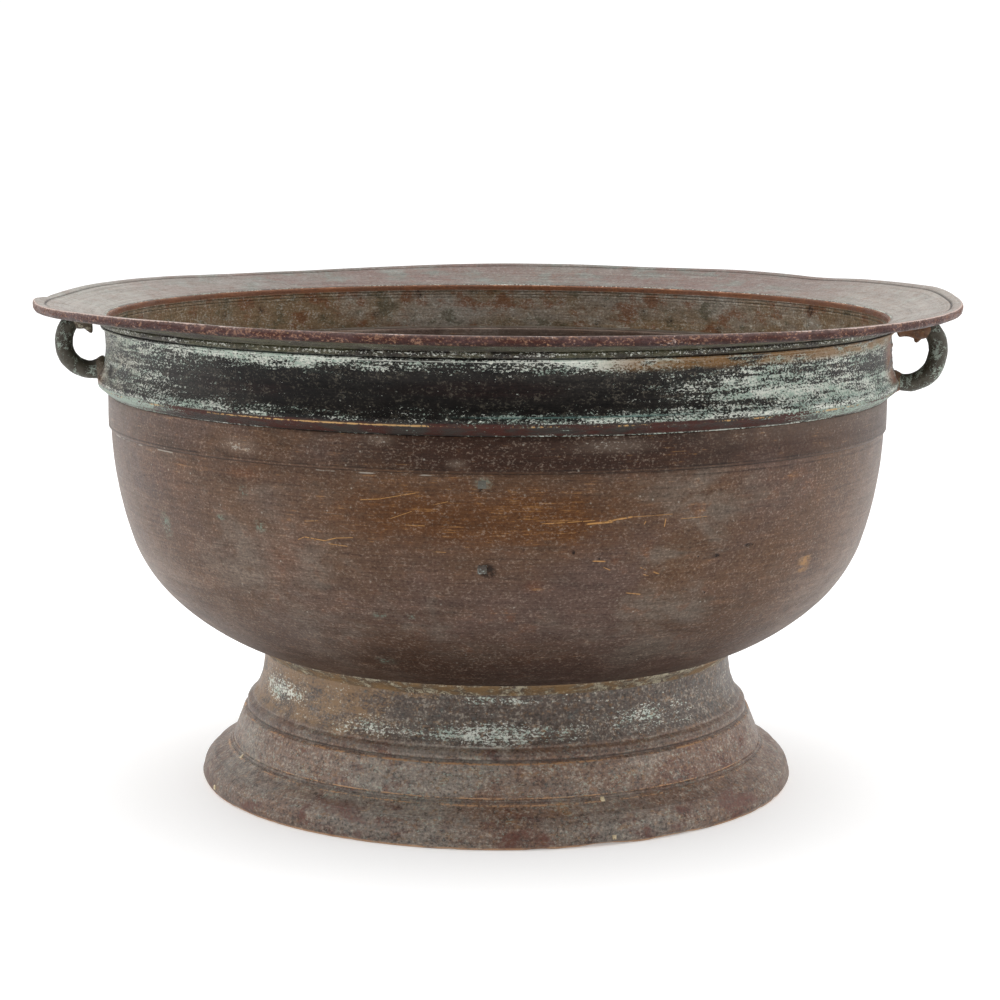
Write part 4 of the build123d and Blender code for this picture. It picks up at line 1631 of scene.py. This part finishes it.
@dataclass
class Handle:
    """A cast ear loop with its brazed roots."""

    side: Side
    line: tuple[tuple[float, float, float], ...]
    arm_end: tuple[tuple[float, float, float], ...]
    nib: tuple[tuple[float, float, float], ...]
    root: tuple[float, float, float]
    braze: CastFinish = BRAZE_FINISH
    bearing: float = 9.0
    around: int = 56
    along: int = 150
    seed: int = 21
    name: str = field(init=False)

    def __post_init__(self) -> None:
        """Take the name from the side."""
        self.name = self.side.name.lower()

    def place(self, flat: np.ndarray) -> np.ndarray:
        """Turn places on the handle's own upright plane into the frame.

        Args:
            flat: rows of distance from the axis, sideways offset and height.

        Returns:
            Rows of x, y and z.
        """
        turn_by = math.radians(self.bearing)
        out = np.array([self.side.value * math.cos(turn_by), -math.sin(turn_by)])
        across = np.array([math.sin(turn_by), self.side.value * math.cos(turn_by)])
        return np.column_stack([
            flat[:, 0] * out[0] + flat[:, 1] * across[0],
            flat[:, 0] * out[1] + flat[:, 1] * across[1],
            flat[:, 2],
        ])

    def rod(self, name: str, knots: Sequence[tuple[float, float, float]], seed: int,
            rough: float, along: int, flatten: float = 1.0) -> bpy.types.Object:
        """Make a cast rod of changing thickness along a line.

        Args:
            name: name of the piece.
            knots: distance from the axis, height and rod radius at each knot.
            seed: number that fixes the cast texture.
            rough: depth of the cast texture.
            along: rings along the line.
            flatten: sideways thickness as a share of the radius.

        Returns:
            The new object.
        """
        curve = smooth_through(np.array(knots), along)
        way = np.gradient(curve[:, :2], axis=0)
        way /= np.linalg.norm(way, axis=1)[:, None]
        normal = np.column_stack([-way[:, 1], way[:, 0]])
        angles = np.linspace(0.0, 2.0 * math.pi, self.around, endpoint=False)
        cap = np.minimum(1.0, np.sqrt(np.clip(1.0 - (1.0 - np.arange(along) / CAP_RINGS) ** 2, 0.05, 1.0)))
        cap[CAP_RINGS:] = 1.0
        thickness = curve[:, 2] * cap * cap[::-1]
        up = np.outer(thickness, np.cos(angles))
        aside = np.outer(thickness * flatten, np.sin(angles))
        reach = curve[:, None, 0] + normal[:, None, 0] * up
        level = curve[:, None, 1] + normal[:, None, 1] * up
        flat = np.stack([reach, aside, level], axis=2).reshape(-1, 3)
        middle = np.repeat(np.column_stack([curve[:, 0], np.zeros(along), curve[:, 1]]), self.around, axis=0)
        outward = flat - middle
        outward /= np.maximum(np.linalg.norm(outward, axis=1), 1e-6)[:, None]
        grain = Grain(seed)
        lumps = grain.at(flat, 9.0, 2) * rough + np.minimum(grain.at(flat, 3.2, 2) + 0.45, 0.0) * rough * 1.4
        flat = flat + outward * lumps[:, None]
        faces = []
        for i in range(along - 1):
            for j in range(self.around):
                k = (j + 1) % self.around
                faces.append((i * self.around + j, i * self.around + k,
                              (i + 1) * self.around + k, (i + 1) * self.around + j))
        faces.append(tuple(range(self.around))[::-1])
        faces.append(tuple((along - 1) * self.around + j for j in range(self.around)))
        return make_object(name, self.place(flat), faces)

    def root_ring(self, name: str) -> bpy.types.Object:
        """Make the collar of braze round the lower root."""
        reach, level, radius = self.root
        knots = (
            (reach - 2.5, level, radius + 1.6),
            (reach - 0.5, level, radius + 1.5),
            (reach + 1.2, level, radius + 0.7),
            (reach + 2.6, level, radius - 0.1),
            (reach + 3.4, level, radius - 0.6),
        )
        return self.rod(name, knots, self.seed + 5, 0.55, 40)

    def build(self) -> list[bpy.types.Object]:
        """Make and dress the loop and its brazes."""
        braze = self.braze.build()
        loop = self.rod(f"{self.name}_ear_loop", self.line, self.seed, 0.34, self.along)
        lump = self.rod(f"{self.name}_upper_braze_lump", self.arm_end, self.seed + 9, 0.5, 60, 1.15)
        nib = self.rod(f"{self.name}_upper_braze_nib", self.nib, self.seed + 3, 0.3, 40)
        ring = self.root_ring(f"{self.name}_root_braze")
        return [
            settle(loop, HANDLE_FINISH.build(), Slot.HANDLE, f"{self.name}_handle"),
            settle(lump, braze, Slot.BRAZE, f"{self.name}_upper_braze"),
            settle(nib, braze, Slot.BRAZE, f"{self.name}_upper_braze"),
            settle(ring, braze, Slot.BRAZE, f"{self.name}_lower_braze"),
        ]


@dataclass
class Chaplets:
    """Square core pins that show in a wall, in columns at quarter turns."""

    name: str
    node: str
    size: float
    turn: float
    spots: tuple[tuple[float, float, float], ...]
    metal: CastFinish
    proud: float = 0.12
    columns: int = 4
    steps: int = 10

    def build(self) -> bpy.types.Object:
        """Make and dress the pins as one piece of separate patches."""
        vertices: list[np.ndarray] = []
        faces: list[tuple[int, ...]] = []
        n = self.steps + 1
        u, v = np.meshgrid(np.linspace(-1, 1, n), np.linspace(-1, 1, n), indexing="ij")
        edge = np.maximum(np.abs(u), np.abs(v)).ravel()
        for column in range(self.columns):
            for reach, level, slope in self.spots:
                bearing = math.radians(self.turn + 360.0 / self.columns * column)
                x = u.ravel() * self.size / 2.0
                z = level + v.ravel() * self.size / 2.0
                r = reach - (z - level) * slope + self.proud - 0.5 * ramp(edge, 0.75, 1.0)
                grain = Grain(PIN_SEED + column)
                r = r + grain.at(np.column_stack([x, z, z * 0.0]), 2.0, 2) * 0.12
                front = np.column_stack([
                    r * np.sin(bearing) + x * np.cos(bearing),
                    -r * np.cos(bearing) + x * np.sin(bearing),
                    z,
                ])
                back = front - np.array([math.sin(bearing), -math.cos(bearing), 0.0]) * 2.0
                base = sum(len(part) for part in vertices)
                vertices += [front, back]
                skip = n * n
                for i in range(self.steps):
                    for j in range(self.steps):
                        a = base + i * n + j
                        faces.append((a, a + 1, a + n + 1, a + n))
                        faces.append((a + skip, a + skip + n, a + skip + n + 1, a + skip + 1))
                back_steps = range(self.steps - 1, -1, -1)
                ring = [i * n for i in range(n)] + [self.steps * n + j for j in range(1, n)]
                ring += [i * n + self.steps for i in back_steps] + list(back_steps)[:-1]
                for a, b in zip(ring, ring[1:] + ring[:1]):
                    faces.append((base + a, base + b, base + b + skip, base + a + skip))
        piece = make_object(self.name, np.vstack(vertices), faces)
        return settle(piece, self.metal.build(), Slot.CHAPLET, self.node)


# ---------------------------------------------------------------- studio


@dataclass
class Studio:
    """Camera, pale floor and soft lights."""

    distance: float = 1.5844
    height: float = 0.4152
    pitch: float = 8.781
    roll: float = 0.288
    lens: float = 93.3
    shift: float = 0.00244
    dark_side: float = 0.03
    bright_side: float = 1.05
    floor_level: float = -0.0002
    table_glow: float = 0.35
    sensor: float = 36.0
    clip: Point = (0.05, 50.0)
    floor_radii: tuple[float, ...] = (0.3, 1.0, 3.0, 8.0, 20.0)
    floor_sides: int = 64
    aim: Corner = (0.0, 0.0, 0.2)
    dusk: Point = (-0.95, 0.05)

    def camera(self) -> None:
        """Place the camera in front of the bowl, a little above its rim."""
        data = bpy.data.cameras.new("camera")
        data.lens = self.lens
        data.sensor_width = self.sensor
        data.shift_x = self.shift
        data.clip_start, data.clip_end = self.clip
        data.dof.use_dof = False
        made = bpy.data.objects.new("camera", data)
        aim = Matrix.Rotation(math.radians(90.0 - self.pitch), 4, "X")
        level = Matrix.Rotation(math.radians(self.roll), 4, "Z")
        made.matrix_world = Matrix.Translation((0.0, -self.distance, self.height)) @ aim @ level
        bpy.context.scene.collection.objects.link(made)
        bpy.context.scene.camera = made

    def floor(self) -> None:
        """Lay a round pale table top, lit a little from within."""
        work = bmesh.new()
        sides = self.floor_sides
        rings = [[work.verts.new((0.0, 0.0, self.floor_level))]]
        for radius in self.floor_radii:
            rings.append([
                work.verts.new((radius * math.cos(a), radius * math.sin(a), self.floor_level))
                for a in np.linspace(0.0, 2.0 * math.pi, sides, endpoint=False)
            ])
        for j in range(sides):
            work.faces.new((rings[0][0], rings[1][j], rings[1][(j + 1) % sides]))
        for inner, outer in zip(rings[1:], rings[2:]):
            for j in range(sides):
                k = (j + 1) % sides
                work.faces.new((inner[j], outer[j], outer[k], inner[k]))
        mesh = bpy.data.meshes.new("studio_floor")
        work.to_mesh(mesh)
        work.free()
        made = bpy.data.objects.new("studio_floor", mesh)
        bpy.context.scene.collection.objects.link(made)
        s = Shader("studio_paper", "Object")
        tone = s.noise(3.0, 3.0, 2.0, 0.5)
        paper = s.mix(tone, (0.80, 0.80, 0.80), (0.84, 0.84, 0.84))
        mesh.materials.append(s.finish(paper, 0.9, 0.0, None, glow=self.table_glow))

    def light(self, name: str, place: Corner, size: Point, power: float) -> None:
        """Hang one soft box that points at the bowl.

        Args:
            name: name of the lamp.
            place: where it hangs, in metres.
            size: width and height in metres.
            power: its power in watts.
        """
        data = bpy.data.lights.new(name, "AREA")
        data.shape = "RECTANGLE"
        data.size, data.size_y = size
        data.energy = power
        made = bpy.data.objects.new(name, data)
        way = Vector(self.aim) - Vector(place)
        made.location = place
        made.rotation_mode = "QUATERNION"
        made.rotation_quaternion = way.to_track_quat("-Z", "Y")
        bpy.context.scene.collection.objects.link(made)

    def build(self) -> None:
        """Set up the whole studio."""
        self.camera()
        self.floor()
        self.light("left_box", (-2.6, -0.2, 1.4), (1.8, 2.2), 14.0)
        self.light("right_box", (2.6, -0.1, 1.3), (1.8, 2.2), 14.0)
        self.light("top_box", (0.0, 0.3, 2.8), (3.0, 2.4), 50.0)
        self.air()
        bpy.context.scene.view_settings.view_transform = "Standard"

    def air(self) -> None:
        """Fill the room with white light that falls off towards the dark side behind the camera."""
        world = bpy.data.worlds.new("studio_air")
        bpy.context.scene.world = world
        world.use_nodes = True
        tree = world.node_tree
        tree.nodes["Background"].inputs["Color"].default_value = (1.0, 1.0, 1.0, 1.0)
        way = tree.nodes.new("ShaderNodeTexCoord")
        parts = tree.nodes.new("ShaderNodeSeparateXYZ")
        fall = tree.nodes.new("ShaderNodeMapRange")
        fall.interpolation_type = "SMOOTHSTEP"
        rise = tree.nodes.new("ShaderNodeMath")
        seen = tree.nodes.new("ShaderNodeLightPath")
        white = tree.nodes.new("ShaderNodeMix")
        fall.inputs[1].default_value, fall.inputs[2].default_value = self.dusk
        white.inputs["B"].default_value = self.bright_side
        fall.inputs[3].default_value = self.dark_side
        fall.inputs[4].default_value = self.bright_side
        tree.links.new(way.outputs["Generated"], parts.inputs[0])
        tree.links.new(parts.outputs["Y"], rise.inputs[0])
        tree.links.new(parts.outputs["Z"], rise.inputs[1])
        tree.links.new(rise.outputs[0], fall.inputs[0])
        tree.links.new(seen.outputs["Is Camera Ray"], white.inputs["Factor"])
        tree.links.new(fall.outputs[0], white.inputs["A"])
        tree.links.new(white.outputs["Result"], tree.nodes["Background"].inputs["Strength"])


# ---------------------------------------------------------------- the whole bowl


def bowl_handles() -> list[Handle]:
    """The two ear loops, with their own lines and sizes."""
    left = Handle(
        Side.LEFT,
        line=(
            (238.5, 255.4, 6.4), (242.0, 255.0, 6.2), (246.0, 254.4, 5.5), (250.5, 254.8, 5.4),
            (256.0, 257.4, 5.3), (260.6, 262.6, 5.2), (262.5, 269.0, 5.2), (262.0, 275.4, 5.3),
            (259.6, 281.2, 5.4), (255.0, 284.4, 4.8), (249.0, 284.6, 4.0),
        ),
        arm_end=(
            (259.0, 284.4, 3.4), (255.0, 284.2, 4.6), (250.5, 284.2, 4.7),
            (246.0, 285.2, 3.4), (243.6, 286.2, 2.0),
        ),
        nib=((250.0, 282.6, 3.6), (248.2, 280.4, 2.9), (247.0, 278.2, 1.9), (246.2, 276.2, 0.7)),
        root=(240.8, 254.8, 6.0),
    )
    right = Handle(
        Side.RIGHT,
        line=(
            (239.5, 249.6, 5.6), (243.0, 249.4, 5.3), (247.0, 249.0, 5.3), (252.0, 249.6, 5.6),
            (258.0, 252.2, 5.8), (262.8, 257.4, 5.7), (265.4, 264.0, 5.6), (266.0, 270.6, 5.6),
            (264.0, 277.0, 5.6), (260.0, 282.4, 5.3), (254.0, 285.0, 4.6),
        ),
        arm_end=(
            (262.0, 283.0, 4.0), (258.0, 281.6, 5.6), (253.5, 280.6, 5.4), (249.0, 281.2, 5.0),
            (245.0, 281.4, 5.2), (240.6, 280.6, 5.4),
        ),
        nib=((254.6, 279.0, 3.4), (253.6, 276.4, 2.6), (253.0, 274.6, 1.7), (252.6, 273.0, 0.7)),
        root=(241.8, 249.4, 5.4),
        braze=RUST_FINISH,
        seed=33,
    )
    return [left, right]


def main() -> None:
    """Build the studio and then every piece of the bowl, from the foot up."""
    logging.basicConfig(level=logging.INFO, format="%(name)s: %(message)s")
    Studio().build()
    Foot().build()
    Seams().build()
    Bowl().build()
    Collar().build()
    for handle in bowl_handles():
        handle.build()
    bowl_spots = ((228.0, 168.0, -0.2), (235.3, 215.0, 0.0))
    foot_spots = ((182.7, 4.6, 0.05), (165.5, 22.4, 0.85))
    Chaplets("bowl_core_pins", "bowl_chaplets", 5.0, -2.0, bowl_spots, BOWL_PIN_FINISH).build()
    Chaplets("foot_core_pins", "foot_chaplets", 2.6, 21.5, foot_spots, FOOT_PIN_FINISH).build()


if __name__ == "__main__":
    main()
